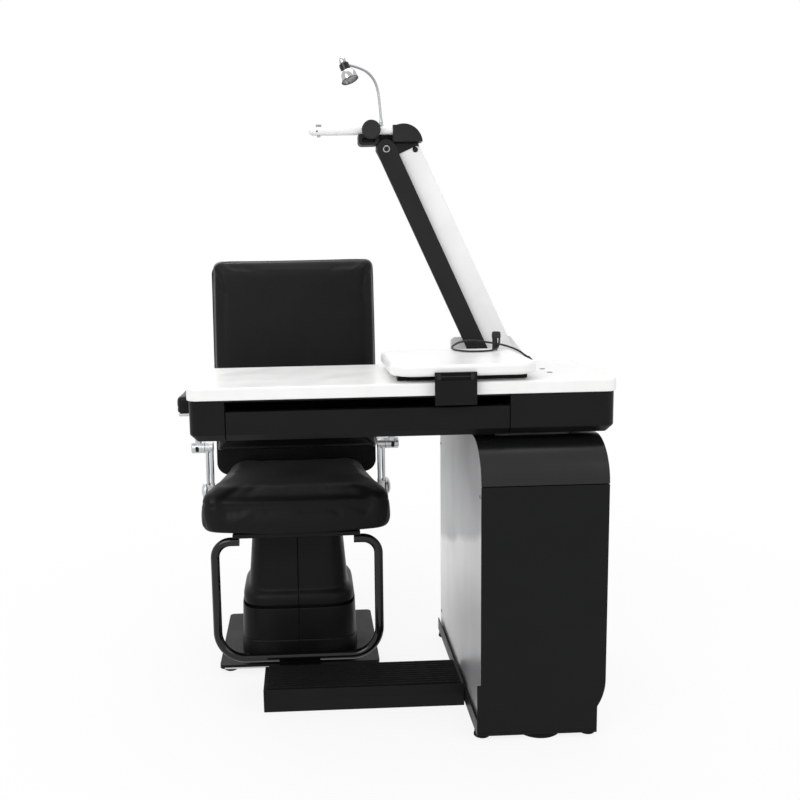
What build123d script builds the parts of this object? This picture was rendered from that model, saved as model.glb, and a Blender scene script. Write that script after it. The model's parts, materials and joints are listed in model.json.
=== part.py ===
from build123d import *
import os
from math import acos, cos, pi, radians, sin, tan

# Optometry combination table: a lifting instrument table on a pillar cabinet, with
# an instrument tray and a drawer, a folding arm that carries a support tube and a
# lamp, a foot step, and a lifting patient chair on its own floor plate.
# All sizes are in millimetres. +X is to the viewer's right, -Y faces the viewer,
# +Z is up, and the origin is the middle of the whole part on the floor.

# Table and cabinet, whose right and front edges are stations of the whole part
cabinet_width = 313
cabinet_inset = 30
table_length = 1046
table_depth = 400
table_setback = 36

# Chair: how far its seat, arm posts and armrests reach from its middle
seat_front_width = 544
seat_rear_width = 464
seat_depth = 430
chair_depth = 432
chair_setback = 263
seat_rear_setback = 95
post_advance = 5
arm_post_gap = 1.907
arm_reach = 85
pad_gap = 12
chair_gap = 117

# Overall stations: the chair stands behind the table and to the left of the cabinet
overall_depth = table_setback + table_depth + pad_gap + chair_depth
chair_y = overall_depth / 2 - chair_setback
post_y = chair_y - post_advance
seat_y0 = overall_depth / 2 - seat_rear_setback - seat_depth
post_share = (post_y - seat_y0) / seat_depth
seat_width_at_post = seat_front_width + (seat_rear_width - seat_front_width) * post_share
arm_post_reach = seat_width_at_post / 2 + arm_post_gap
chair_pad_reach = arm_post_reach + arm_reach
overall_length = 2 * chair_pad_reach + chair_gap + cabinet_width + cabinet_inset
x_right = overall_length / 2
x_left = -x_right
y_front = -overall_depth / 2
y_rear = overall_depth / 2
floor_gap = 12

# Clearances
overrun = 2
slide_gap = 0.5
turn_gap = 0.08
soft_gap = 0.3

# Table heights, with the cabinet's top just under the table
table_height = 901
slab_thickness = 31
housing_height = 102
cabinet_top_gap = 12
housing_top = table_height - slab_thickness
housing_z0 = housing_top - housing_height

# Cabinet
cabinet_depth = 660
cabinet_height = housing_z0 - cabinet_top_gap
roll_radius = 105
sheet = 2
front_sheet = 3
cover_sheet = 3
seam = 2
kick_height = 133
kick_overhang = 9
kick_inset = 20
curve_height = 70
curve_top = 150
cabinet_x1 = x_right - cabinet_inset
cabinet_x0 = cabinet_x1 - cabinet_width
cabinet_y0 = y_front
cabinet_y1 = cabinet_y0 + cabinet_depth
seam_height = cabinet_height - roll_radius
base_x0 = cabinet_x0 - kick_overhang
base_x1 = cabinet_x1 - kick_inset
base_thickness = 8
base_top = floor_gap + base_thickness
skirt_height = 30
skirt_sheet = 3

# Table
slab_radius = 30
slab_edge = 5
slab_overhang = 5
housing_chamfer = 18
table_x1 = x_right
table_x0 = table_x1 - table_length
table_y0 = y_front + table_setback
table_y1 = table_y0 + table_depth
housing_x0 = table_x0 + slab_overhang
housing_x1 = table_x1 - slab_overhang
housing_y0 = table_y0 + slab_overhang
housing_y1 = table_y1 - slab_overhang
housing_wall = 8

# Lift column, under the table and inside the cabinet
column_side = 140
column_wall = 4
column_drop = 36
column_top = cabinet_height - column_drop
column_overlap = 340
flange_side = 190
flange_thickness = 8
column_x = (cabinet_x0 + cabinet_x1) / 2
column_y = (table_y0 + table_y1) / 2
cover_opening_gap = 3

# Drawer
drawer_offset = 92
drawer_width = 690
drawer_face = 24
finger_gap = 24
housing_roof = 5
drawer_height = housing_height - housing_roof - finger_gap
drawer_side_gap = 1.5
drawer_x0 = table_x0 + drawer_offset
drawer_x1 = drawer_x0 + drawer_width
drawer_z1 = housing_z0 + drawer_height
cavity_top = drawer_z1 + finger_gap
cavity_y1 = housing_y1 - housing_wall
drawer_back_gap = 38
drawer_length = cavity_y1 - housing_y0 - drawer_face - drawer_back_gap
drawer_wall = 10
drawer_floor = 3
runner_width = 10
runner_height = 20

# Instrument tray
tray_width = 360
tray_depth = 360
tray_thickness = 28
tray_radius = 60
tray_edge = 9
tray_lift = 16
tray_inset = 194
tray_forward = 10
tray_x1 = table_x1 - tray_inset
tray_x0 = tray_x1 - tray_width
tray_y0 = table_y0 - tray_forward
tray_y1 = tray_y0 + tray_depth
tray_z0 = table_height + tray_lift
tray_z1 = tray_z0 + tray_thickness

# Arm: two parallel links, their pivots and their planes
link_length = 685
link_lean = 24.5
link_pitch = 85
lower_pivot_inset = 231
lower_pivot_rise = 10
front_link_setback = 74
lower_pivot_x = table_x1 - lower_pivot_inset
lower_pivot_z = housing_top + lower_pivot_rise
front_link_y0 = table_y1 + front_link_setback
front_link_depth = 22
rear_link_depth = 26
link_gap = 2
cheek_depth = 12
link_width = 54
pin_radius = 7
upper_pivot_x = lower_pivot_x - link_length * sin(radians(link_lean))
upper_pivot_z = lower_pivot_z + link_length * cos(radians(link_lean))
front_link_y1 = front_link_y0 + front_link_depth
rear_link_y0 = front_link_y1 + link_gap
rear_link_y1 = rear_link_y0 + rear_link_depth
cheek_y0 = rear_link_y1 + link_gap
cheek_y1 = cheek_y0 + cheek_depth

# Support tube and lamp, placed from the upper pivot of the arm
tube_radius = 12
tube_wall = 2
tube_rise = 53
tube_setback = 15
tube_y = front_link_y0 + tube_setback
tube_z = upper_pivot_z + tube_rise

# Chair
chair_x = x_left + chair_pad_reach
chair_plate_width = 470
chair_plate_depth = 388
chair_plate_thickness = 12
chair_plate_top = floor_gap + chair_plate_thickness
seat_bottom = 437
seat_thickness = 125
frame_thickness = 12
frame_top = seat_bottom - soft_gap
frame_z0 = frame_top - frame_thickness

# Foot step, from under the chair's left half to the cabinet's base
step_past_chair = 96
step_depth = 140
step_height = 66
step_wall = 3
join_gap = 106
step_x1 = base_x0
step_x0 = chair_x - step_past_chair
step_y1 = chair_y - chair_plate_depth / 2 - join_gap
step_y0 = step_y1 - step_depth

os.makedirs("parts", exist_ok=True)


def block(x0, x1, y0, y1, z0, z1, mode=Mode.ADD):
    """A box between six stations."""
    with Locations(((x0 + x1) / 2, (y0 + y1) / 2, (z0 + z1) / 2)):
        Box(x1 - x0, y1 - y0, z1 - z0, mode=mode)


def rod(start, direction, length, radius, mode=Mode.ADD):
    """A round bar from a point along a direction."""
    with Locations(Plane(origin=start, z_dir=direction)):
        Cylinder(radius, length, align=(Align.CENTER, Align.CENTER, Align.MIN), mode=mode)


def cone(start, direction, length, radius0, radius1, mode=Mode.ADD):
    """A tapered bar from a point along a direction."""
    with Locations(Plane(origin=start, z_dir=direction)):
        Cone(radius0, radius1, length, align=(Align.CENTER, Align.CENTER, Align.MIN), mode=mode)


def front_plane(y):
    """A sketch plane that faces the viewer: its own axes are X and Z."""
    return Plane(origin=(0, y, 0), x_dir=(1, 0, 0), z_dir=(0, -1, 0))


def side_plane(x):
    """A sketch plane across the part: its own axes are Y and Z."""
    return Plane(origin=(x, 0, 0), x_dir=(0, 1, 0), z_dir=(1, 0, 0))


TO_RIGHT = (1, 0, 0)
TO_REAR = (0, 1, 0)
UP = (0, 0, 1)


# Cabinet base: a floor plate with an upturned skirt along the left side
with BuildPart() as cabinet_base:
    block(base_x0, base_x1, cabinet_y0, cabinet_y1, floor_gap, base_top)
    block(
        base_x0, base_x0 + skirt_sheet, cabinet_y0 + front_sheet, cabinet_y1,
        base_top, base_top + skirt_height,
    )
cabinet_base.part.label = "cabinet_base"
export_step(cabinet_base.part, "parts/cabinet_base.step")

# Rubber feet under both plates, and a round pad under the front of the cabinet
foot_radius = 20
foot_inset = 17
foot_setback = 30
pad_radius = 59
chair_foot_inset = 30
chair_plate_x0 = chair_x - chair_plate_width / 2
chair_plate_x1 = chair_x + chair_plate_width / 2
chair_plate_y0 = chair_y - chair_plate_depth / 2
chair_plate_y1 = chair_y + chair_plate_depth / 2
with BuildPart() as feet:
    for foot_x in (base_x0 + foot_inset, base_x1 - foot_inset):
        for foot_y in (cabinet_y0 + foot_setback, cabinet_y1 - foot_setback):
            rod((foot_x, foot_y, 0), UP, floor_gap, foot_radius)
    for foot_x in (chair_plate_x0 + chair_foot_inset, chair_plate_x1 - chair_foot_inset):
        for foot_y in (chair_plate_y0 + chair_foot_inset, chair_plate_y1 - chair_foot_inset):
            rod((foot_x, foot_y, 0), UP, floor_gap, foot_radius)
    rod((column_x, cabinet_y0 + pad_radius, 0), UP, floor_gap, pad_radius)
feet.part.label = "feet"
export_step(feet.part, "parts/feet.step")

# The cabinet's right side leans in below curve_top on an arc that starts upright
curve_radius = (curve_height**2 + kick_inset**2) / (2 * kick_inset)
curve_x = cabinet_x1 - curve_radius


def lower_curve(inset):
    """Start, middle and end of the right side's lower arc, at an inset from its face."""
    radius = curve_radius - inset
    sweep_angle = acos((base_x1 - inset - curve_x) / radius)
    return [
        (curve_x + radius * cos(angle), curve_top - radius * sin(angle))
        for angle in (0, sweep_angle / 2, sweep_angle)
    ]


# The side view of the cabinet: upright front, rolled top, upright rear
roll_centre = (cabinet_y0 + roll_radius, seam_height)


def roll_arc(radius):
    """Start, middle and end of the rolled top's quarter circle."""
    return [
        (roll_centre[0] - radius * cos(angle), roll_centre[1] + radius * sin(angle))
        for angle in (0, pi / 4, pi / 2)
    ]


cover_inner_radius = roll_radius - cover_sheet
panel_y1 = cabinet_y1 - sheet
with BuildSketch() as side_shape:
    with BuildLine():
        arc = roll_arc(cover_inner_radius)
        ThreePointArc(*arc)
        Polyline(
            arc[2],
            (panel_y1, cabinet_height - cover_sheet),
            (panel_y1, base_top),
            (arc[0][0], base_top),
            arc[0],
        )
    make_face()

with BuildPart() as left_panel:
    with BuildSketch(side_plane(cabinet_x0)):
        add(side_shape.sketch)
    extrude(amount=sheet)
left_panel.part.label = "left_panel"
export_step(left_panel.part, "parts/left_panel.step")

with BuildPart() as right_panel:
    with BuildSketch(front_plane(panel_y1)):
        with BuildLine():
            outer = lower_curve(0)
            inner = lower_curve(sheet)
            ThreePointArc(*outer)
            ThreePointArc(*inner)
            Polyline(
                outer[0],
                (cabinet_x1, cabinet_height),
                (cabinet_x1 - sheet, cabinet_height),
                inner[0],
            )
            Polyline(outer[2], (outer[2][0], base_top), (inner[2][0], base_top), inner[2])
        make_face()
    extrude(amount=panel_y1 - cabinet_y0 - front_sheet)
    with BuildSketch(side_plane(base_x0)):
        add(side_shape.sketch)
    extrude(amount=overall_length, mode=Mode.INTERSECT)
right_panel.part.label = "right_panel"
export_step(right_panel.part, "parts/right_panel.step")

# Front panel: the kick below is a little wider at the left than the panel above
kick_top = floor_gap + kick_height
panel_top = seam_height - seam
with BuildPart() as front_panel:
    with BuildSketch(front_plane(cabinet_y0 + front_sheet)):
        with BuildLine():
            outer = lower_curve(0)
            ThreePointArc(*outer)
            Polyline(
                outer[0],
                (cabinet_x1, panel_top),
                (cabinet_x0, panel_top),
                (cabinet_x0, kick_top),
                (base_x0, kick_top),
                (base_x0, base_top),
                (outer[2][0], base_top),
                outer[2],
            )
        make_face()
    extrude(amount=front_sheet)
front_panel.part.label = "front_panel"
export_step(front_panel.part, "parts/front_panel.step")

with BuildPart() as rear_panel:
    with BuildSketch(front_plane(cabinet_y1)):
        with BuildLine():
            outer = lower_curve(0)
            ThreePointArc(*outer)
            Polyline(
                outer[0],
                (cabinet_x1, seam_height),
                (cabinet_x0, seam_height),
                (cabinet_x0, base_top),
                (outer[2][0], base_top),
                outer[2],
            )
        make_face()
    extrude(amount=sheet)
rear_panel.part.label = "rear_panel"
export_step(rear_panel.part, "parts/rear_panel.step")

# Rolled top cover, with a fold down the rear and an opening for the lift column
inner_column_side = column_side - 2 * column_wall - 2 * slide_gap
opening_side = inner_column_side + 2 * cover_opening_gap
with BuildPart() as top_cover:
    with BuildSketch(side_plane(cabinet_x0)):
        with BuildLine():
            arc = roll_arc(roll_radius)
            ThreePointArc(*arc)
            Polyline(
                arc[2],
                (cabinet_y1, cabinet_height),
                (cabinet_y1, seam_height),
                (cabinet_y0, seam_height),
            )
        make_face()
        with BuildLine():
            arc = roll_arc(cover_inner_radius)
            ThreePointArc(*arc)
            Polyline(
                arc[2],
                (panel_y1, cabinet_height - cover_sheet),
                (panel_y1, seam_height - overrun),
                (arc[0][0], seam_height - overrun),
                arc[0],
            )
        make_face(mode=Mode.SUBTRACT)
    extrude(amount=cabinet_width)
    with Locations((column_x, column_y, cabinet_height)):
        Box(opening_side, opening_side, 2 * (cover_sheet + overrun), mode=Mode.SUBTRACT)
top_cover.part.label = "top_cover"
export_step(top_cover.part, "parts/top_cover.step")

# Inner frame: four corner posts and a ring of bars at their tops
post_side = 24
inner_y0 = cabinet_y0 + front_sheet
inner_y1 = panel_y1
ring_z1 = seam_height - seam
with BuildPart() as cabinet_frame:
    for corner_x in (cabinet_x0 + sheet, base_x1 - sheet - post_side):
        for corner_y in (inner_y0, inner_y1 - post_side):
            block(corner_x, corner_x + post_side, corner_y, corner_y + post_side, base_top, ring_z1)
        block(corner_x, corner_x + post_side, inner_y0, inner_y1, ring_z1 - post_side, ring_z1)
    for corner_y in (inner_y0, inner_y1 - post_side):
        block(
            cabinet_x0 + sheet, cabinet_x1 - sheet, corner_y, corner_y + post_side,
            ring_z1 - post_side, ring_z1,
        )
cabinet_frame.part.label = "cabinet_frame"
export_step(cabinet_frame.part, "parts/cabinet_frame.step")

# Round-headed screws on the two side panels
screw_radius = 5
screw_head = 2
screw_inset = 14
screw_heights = (base_top + skirt_height + 2 * screw_inset, seam_height - 2 * screw_inset)
with BuildPart() as panel_screws:
    for screw_z in screw_heights:
        for screw_y in (cabinet_y0 + screw_inset, cabinet_y1 - screw_inset):
            rod((cabinet_x0, screw_y, screw_z), (-1, 0, 0), screw_head, screw_radius)
    for screw_z in (curve_top + 2 * screw_inset, seam_height - 2 * screw_inset):
        for screw_y in (cabinet_y0 + screw_inset, cabinet_y1 - screw_inset):
            rod((cabinet_x1, screw_y, screw_z), TO_RIGHT, screw_head, screw_radius)
panel_screws.part.label = "panel_screws"
export_step(panel_screws.part, "parts/panel_screws.step")

# Telescoping lift column: a fixed square tube and the tube that lifts the table
with BuildPart() as lift_outer:
    half = column_side / 2
    block(column_x - half, column_x + half, column_y - half, column_y + half, base_top, column_top)
    half = column_side / 2 - column_wall
    block(
        column_x - half, column_x + half, column_y - half, column_y + half,
        base_top + flange_thickness, column_top + overrun, mode=Mode.SUBTRACT,
    )
lift_outer.part.label = "lift_outer"
export_step(lift_outer.part, "parts/lift_outer.step")

with BuildPart() as lift_inner:
    half = inner_column_side / 2
    lift_z0 = column_top - column_overlap
    lift_z1 = housing_z0 - flange_thickness
    block(column_x - half, column_x + half, column_y - half, column_y + half, lift_z0, lift_z1)
    half = inner_column_side / 2 - column_wall
    block(
        column_x - half, column_x + half, column_y - half, column_y + half,
        lift_z0 - overrun, lift_z1, mode=Mode.SUBTRACT,
    )
    half = flange_side / 2
    block(column_x - half, column_x + half, column_y - half, column_y + half, lift_z1, housing_z0)
lift_inner.part.label = "lift_inner"
export_step(lift_inner.part, "parts/lift_inner.step")

# Table housing: a long box with chamfered lower edges, open at the front for the
# drawer, with a second bay at the right that a window joins to the first
bay_x0 = drawer_x1 + housing_wall
bay_x1 = housing_x1 - housing_wall
bay_z1 = housing_top - housing_wall
window_side = 50
with BuildPart() as table_housing:
    with BuildSketch(Plane.XY.offset(housing_z0)):
        with Locations(((housing_x0 + housing_x1) / 2, (housing_y0 + housing_y1) / 2)):
            RectangleRounded(housing_x1 - housing_x0, housing_y1 - housing_y0, slab_radius - slab_overhang)
    extrude(amount=housing_height)
    chamfer(table_housing.faces().sort_by(Axis.Z)[0].edges(), housing_chamfer)
    block(
        drawer_x0, drawer_x1, housing_y0 - overrun, cavity_y1,
        housing_z0 + housing_wall, cavity_top, mode=Mode.SUBTRACT,
    )
    block(
        drawer_x0, drawer_x1, housing_y0 - overrun, housing_y0 + drawer_face + drawer_side_gap,
        housing_z0 - overrun, cavity_top, mode=Mode.SUBTRACT,
    )
    block(
        bay_x0, bay_x1, housing_y0 + housing_wall, cavity_y1,
        housing_z0 + housing_chamfer, bay_z1, mode=Mode.SUBTRACT,
    )
    block(
        drawer_x1 - overrun, bay_x0 + overrun, cavity_y1 - 2 * window_side, cavity_y1 - window_side,
        housing_z0 + housing_chamfer, housing_z0 + housing_chamfer + window_side, mode=Mode.SUBTRACT,
    )
table_housing.part.label = "table_housing"
export_step(table_housing.part, "parts/table_housing.step")

with BuildPart() as table_top:
    with BuildSketch(Plane.XY.offset(housing_top)):
        with Locations(((table_x0 + table_x1) / 2, (table_y0 + table_y1) / 2)):
            RectangleRounded(table_length, table_depth, slab_radius)
    extrude(amount=slab_thickness)
    fillet(table_top.faces().sort_by(Axis.Z)[-1].edges(), slab_edge)
    fillet(table_top.faces().sort_by(Axis.Z)[0].edges(), slab_edge / 2)
table_top.part.label = "table_top"
export_step(table_top.part, "parts/table_top.step")

# Two flat plugs in the top, to the right of the tray
plug_radius = 7.5
plug_rise = 1.5
plug_inset_x = 133
plug_setback = 140
plug_pitch = 72
with BuildPart() as top_plugs:
    for plug_step in range(2):
        plug_y = table_y0 + plug_setback + plug_step * plug_pitch
        rod((table_x1 - plug_inset_x, plug_y, table_height), UP, plug_rise, plug_radius)
top_plugs.part.label = "top_plugs"
export_step(top_plugs.part, "parts/top_plugs.step")

# Drawer: a front with a chamfered lower edge, and an open box behind it
face_y1 = housing_y0 + drawer_face
box_x0 = drawer_x0 + runner_width + slide_gap
box_x1 = drawer_x1 - runner_width - slide_gap
box_z0 = housing_z0 + housing_wall + slide_gap
box_z1 = drawer_z1 - 2 * runner_width
with BuildPart() as drawer_front:
    with BuildSketch(side_plane(drawer_x0 + drawer_side_gap)):
        with BuildLine():
            Polyline(
                (housing_y0, housing_z0 + housing_chamfer),
                (housing_y0, drawer_z1),
                (face_y1, drawer_z1),
                (face_y1, housing_z0),
                (housing_y0 + housing_chamfer, housing_z0),
                close=True,
            )
        make_face()
    extrude(amount=drawer_width - 2 * drawer_side_gap)
drawer_front.part.label = "drawer_front"
export_step(drawer_front.part, "parts/drawer_front.step")

with BuildPart() as drawer_box:
    block(box_x0, box_x1, face_y1, face_y1 + drawer_length, box_z0, box_z1)
    block(
        box_x0 + drawer_wall, box_x1 - drawer_wall, face_y1 + drawer_wall,
        face_y1 + drawer_length - drawer_wall, box_z0 + drawer_floor, box_z1 + overrun, mode=Mode.SUBTRACT,
    )
drawer_box.part.label = "drawer_box"
export_step(drawer_box.part, "parts/drawer_box.step")

with BuildPart() as drawer_runners:
    runner_z0 = (box_z0 + box_z1 - runner_height) / 2
    for runner_x in (drawer_x0, drawer_x1 - runner_width):
        block(
            runner_x, runner_x + runner_width, face_y1 + runner_width, cavity_y1,
            runner_z0, runner_z0 + runner_height,
        )
drawer_runners.part.label = "drawer_runners"
export_step(drawer_runners.part, "parts/drawer_runners.step")

# Tray guides: two T bars on the table top, and the channels that ride on them
guide_inset = 20
guide_setback = 70
guide_web = 8
guide_head = 16
guide_web_height = 5
guide_head_height = 3
channel_wall = 4
channel_lip_rise = 2
guide_x0 = tray_x0 + guide_inset
guide_x1 = tray_x1 - guide_inset
guide_places = (tray_y0 + guide_setback, tray_y1 - guide_setback)
head_z0 = table_height + guide_web_height
head_z1 = head_z0 + guide_head_height
with BuildPart() as tray_guides:
    for guide_y in guide_places:
        block(guide_x0, guide_x1, guide_y - guide_web / 2, guide_y + guide_web / 2, table_height, head_z0)
        block(guide_x0, guide_x1, guide_y - guide_head / 2, guide_y + guide_head / 2, head_z0, head_z1)
tray_guides.part.label = "tray_guides"
export_step(tray_guides.part, "parts/tray_guides.step")

with BuildPart() as tray_runners:
    for guide_y in guide_places:
        half = guide_head / 2 + slide_gap + channel_wall
        block(guide_x0, guide_x1, guide_y - half, guide_y + half, table_height + channel_lip_rise, tray_z0)
        half = guide_head / 2 + slide_gap
        block(
            guide_x0 - overrun, guide_x1 + overrun, guide_y - half, guide_y + half,
            head_z0 - slide_gap, head_z1 + slide_gap, mode=Mode.SUBTRACT,
        )
        half = guide_web / 2 + slide_gap
        block(
            guide_x0 - overrun, guide_x1 + overrun, guide_y - half, guide_y + half,
            table_height, head_z0, mode=Mode.SUBTRACT,
        )
tray_runners.part.label = "tray_runners"
export_step(tray_runners.part, "parts/tray_runners.step")

with BuildPart() as instrument_tray:
    with BuildSketch(Plane.XY.offset(tray_z0)):
        with Locations(((tray_x0 + tray_x1) / 2, (tray_y0 + tray_y1) / 2)):
            RectangleRounded(tray_width, tray_depth, tray_radius)
    extrude(amount=tray_thickness)
    fillet(instrument_tray.faces().sort_by(Axis.Z)[-1].edges(), tray_edge)
    fillet(instrument_tray.faces().sort_by(Axis.Z)[0].edges(), tray_edge)
instrument_tray.part.label = "instrument_tray"
export_step(instrument_tray.part, "parts/instrument_tray.step")

# Clip on the front of the tray: a plate below, a shallow open box above it, and a
# strap that runs back under the tray
bracket_width = 101
bracket_offset = 103
bracket_rise = 27
bracket_drop = 52
bracket_box = 23
bracket_depth = 10
bracket_plate = 6
bracket_wall = 4
bracket_back = 2
strap_thickness = 3
strap_reach = 45
ear_width = 11
ear_depth = 5
bar_radius = 2
bracket_x0 = tray_x0 + bracket_offset
bracket_x1 = bracket_x0 + bracket_width
bracket_y1 = tray_y0
bracket_y0 = bracket_y1 - bracket_depth
bracket_z1 = table_height + bracket_rise
bracket_z0 = table_height - bracket_drop
box_floor = bracket_z1 - bracket_box
with BuildPart() as tray_bracket:
    block(bracket_x0, bracket_x1, bracket_y0, bracket_y1, box_floor, bracket_z1)
    block(
        bracket_x0 + bracket_wall, bracket_x1 - bracket_wall,
        bracket_y0 - overrun, bracket_y1 - bracket_back,
        box_floor + bracket_wall, bracket_z1 - bracket_wall / 2, mode=Mode.SUBTRACT,
    )
    block(bracket_x0, bracket_x1, bracket_y0, bracket_y0 + bracket_plate, bracket_z0, box_floor)
    block(
        bracket_x0 + ear_width, bracket_x1 - ear_width, bracket_y1 - bracket_back, bracket_y1 + strap_reach,
        tray_z0 - strap_thickness, tray_z0,
    )
tray_bracket.part.label = "tray_bracket"
export_step(tray_bracket.part, "parts/tray_bracket.step")

# Two ears inside the box, with a bar between them
ear_z0 = box_floor + bracket_wall
ear_z1 = bracket_z1 - bracket_wall / 2
ear_y1 = bracket_y1 - bracket_back
with BuildPart() as bracket_clip:
    for ear_x in (bracket_x0 + bracket_wall, bracket_x1 - bracket_wall - ear_width):
        block(ear_x, ear_x + ear_width, ear_y1 - ear_depth, ear_y1, ear_z0, ear_z1)
    rod(
        (bracket_x0 + bracket_wall + ear_width, ear_y1 - ear_depth / 2, (ear_z0 + ear_z1) / 2),
        TO_RIGHT, bracket_width - 2 * (bracket_wall + ear_width), bar_radius,
    )
bracket_clip.part.label = "bracket_clip"
export_step(bracket_clip.part, "parts/bracket_clip.step")

# Arm bracket on the rear of the housing, and the upright cheek that holds the pins
bracket_margin = 44
bracket_top_drop = 50
bracket_bottom_gap = 7
bracket_shell = 6
cheek_left = 94
cheek_rise = 82
cheek_margin = 22
cheek_radius = 14
arm_bracket_x0 = lower_pivot_x - bracket_margin
arm_bracket_x1 = lower_pivot_x + link_pitch + bracket_margin
arm_bracket_z0 = housing_z0 + bracket_bottom_gap
bracket_top = housing_top - bracket_top_drop
cheek_x0 = lower_pivot_x - cheek_left
cheek_top = lower_pivot_z + cheek_rise
with BuildPart() as arm_bracket:
    block(arm_bracket_x0, arm_bracket_x1, housing_y1, cheek_y0, arm_bracket_z0, bracket_top)
    block(
        arm_bracket_x0 + bracket_shell, arm_bracket_x1 - bracket_shell, housing_y1 + bracket_shell,
        cheek_y0 - bracket_shell, arm_bracket_z0 - overrun, bracket_top - bracket_shell, mode=Mode.SUBTRACT,
    )
arm_bracket.part.label = "arm_bracket"
export_step(arm_bracket.part, "parts/arm_bracket.step")

with BuildPart() as arm_cheek:
    with BuildSketch(front_plane(cheek_y1)):
        with BuildLine():
            Polyline(
                (cheek_x0, cheek_top),
                (cheek_x0, lower_pivot_z),
                (arm_bracket_x0, arm_bracket_z0),
                (arm_bracket_x1, arm_bracket_z0),
                (arm_bracket_x1, lower_pivot_z + cheek_margin),
                (lower_pivot_x + link_pitch, cheek_top),
                close=True,
            )
        face = make_face()
        fillet(face.vertices(), cheek_radius)
    extrude(amount=cheek_depth)
    for pivot_x in (lower_pivot_x, lower_pivot_x + link_pitch):
        rod(
            (pivot_x, cheek_y0 - overrun, lower_pivot_z), TO_REAR,
            cheek_depth + 2 * overrun, pin_radius, Mode.SUBTRACT,
        )
arm_cheek.part.label = "arm_cheek"
export_step(arm_cheek.part, "parts/arm_cheek.step")

pin_head_radius = 7.5
pin_head = 3
with BuildPart() as lower_pins:
    for pivot_x, face_y in ((lower_pivot_x, front_link_y0), (lower_pivot_x + link_pitch, rear_link_y0)):
        head_y = face_y - pin_head - soft_gap
        rod((pivot_x, head_y, lower_pivot_z), TO_REAR, cheek_y1 - head_y, pin_radius)
        rod((pivot_x, head_y, lower_pivot_z), TO_REAR, pin_head, pin_head_radius)
lower_pins.part.label = "lower_pins"
export_step(lower_pins.part, "parts/lower_pins.step")

# Link directions: along the link, and square to it towards the right
along = (-sin(radians(link_lean)), cos(radians(link_lean)))
across = (cos(radians(link_lean)), sin(radians(link_lean)))


def link_point(pivot_x, reach, side):
    """A point at a reach along a link from its lower pivot, and to its right."""
    return (
        pivot_x + reach * along[0] + side * across[0],
        lower_pivot_z + reach * along[1] + side * across[1],
    )


# Front link: a straight bar with round ends, hollow from behind
link_wall = 4
boss_radius = 14
with BuildPart() as front_link:
    with BuildSketch(front_plane(front_link_y1)):
        with Locations(Location(link_point(lower_pivot_x, link_length / 2, 0), link_lean)):
            SlotCenterToCenter(link_length, link_width, rotation=90)
    extrude(amount=front_link_depth)
    with BuildSketch(front_plane(front_link_y1 + overrun)):
        with Locations(Location(link_point(lower_pivot_x, link_length / 2, 0), link_lean)):
            SlotCenterToCenter(link_length - 4 * boss_radius, link_width - 2 * link_wall, rotation=90)
    extrude(amount=front_link_depth + overrun - link_wall, mode=Mode.SUBTRACT)
    for reach in (0, link_length):
        point = link_point(lower_pivot_x, reach, 0)
        rod((point[0], front_link_y0, point[1]), TO_REAR, front_link_depth, boss_radius)
        rod(
            (point[0], front_link_y0 - overrun, point[1]), TO_REAR,
            front_link_depth + 2 * overrun, pin_radius + turn_gap, Mode.SUBTRACT,
        )
front_link.part.label = "front_link"
export_step(front_link.part, "parts/front_link.step")

# Rear link: a broad flat cover that widens towards its foot
cover_top_reach = 9
cover_foot_reach = 16
cover_left_top = 48
cover_left_foot = 51
cover_right_top = 15
cover_right_foot = 22
cover_corner = 6
cover_round = 13
rear_pivot_x = lower_pivot_x + link_pitch
with BuildPart() as rear_link:
    with BuildSketch(front_plane(rear_link_y1)):
        with BuildLine():
            Polyline(
                link_point(rear_pivot_x, -cover_foot_reach, -cover_left_foot),
                link_point(rear_pivot_x, -cover_foot_reach, cover_right_foot),
                link_point(rear_pivot_x, link_length + cover_top_reach, cover_right_top),
                link_point(rear_pivot_x, link_length + cover_top_reach, -cover_left_top),
                close=True,
            )
        face = make_face()
        top_corners = face.vertices().sort_by(Axis.Y)[-2:]
        fillet([top_corners.sort_by(Axis.X)[-1]], cover_round)
        fillet(face.vertices().sort_by(Axis.Y)[:2], cover_corner)
    extrude(amount=rear_link_depth)
    for reach in (0, link_length):
        point = link_point(rear_pivot_x, reach, 0)
        rod(
            (point[0], rear_link_y0 - overrun, point[1]), TO_REAR,
            rear_link_depth + 2 * overrun, pin_radius + 2 * turn_gap, Mode.SUBTRACT,
        )
rear_link.part.label = "rear_link"
export_step(rear_link.part, "parts/rear_link.step")

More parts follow.
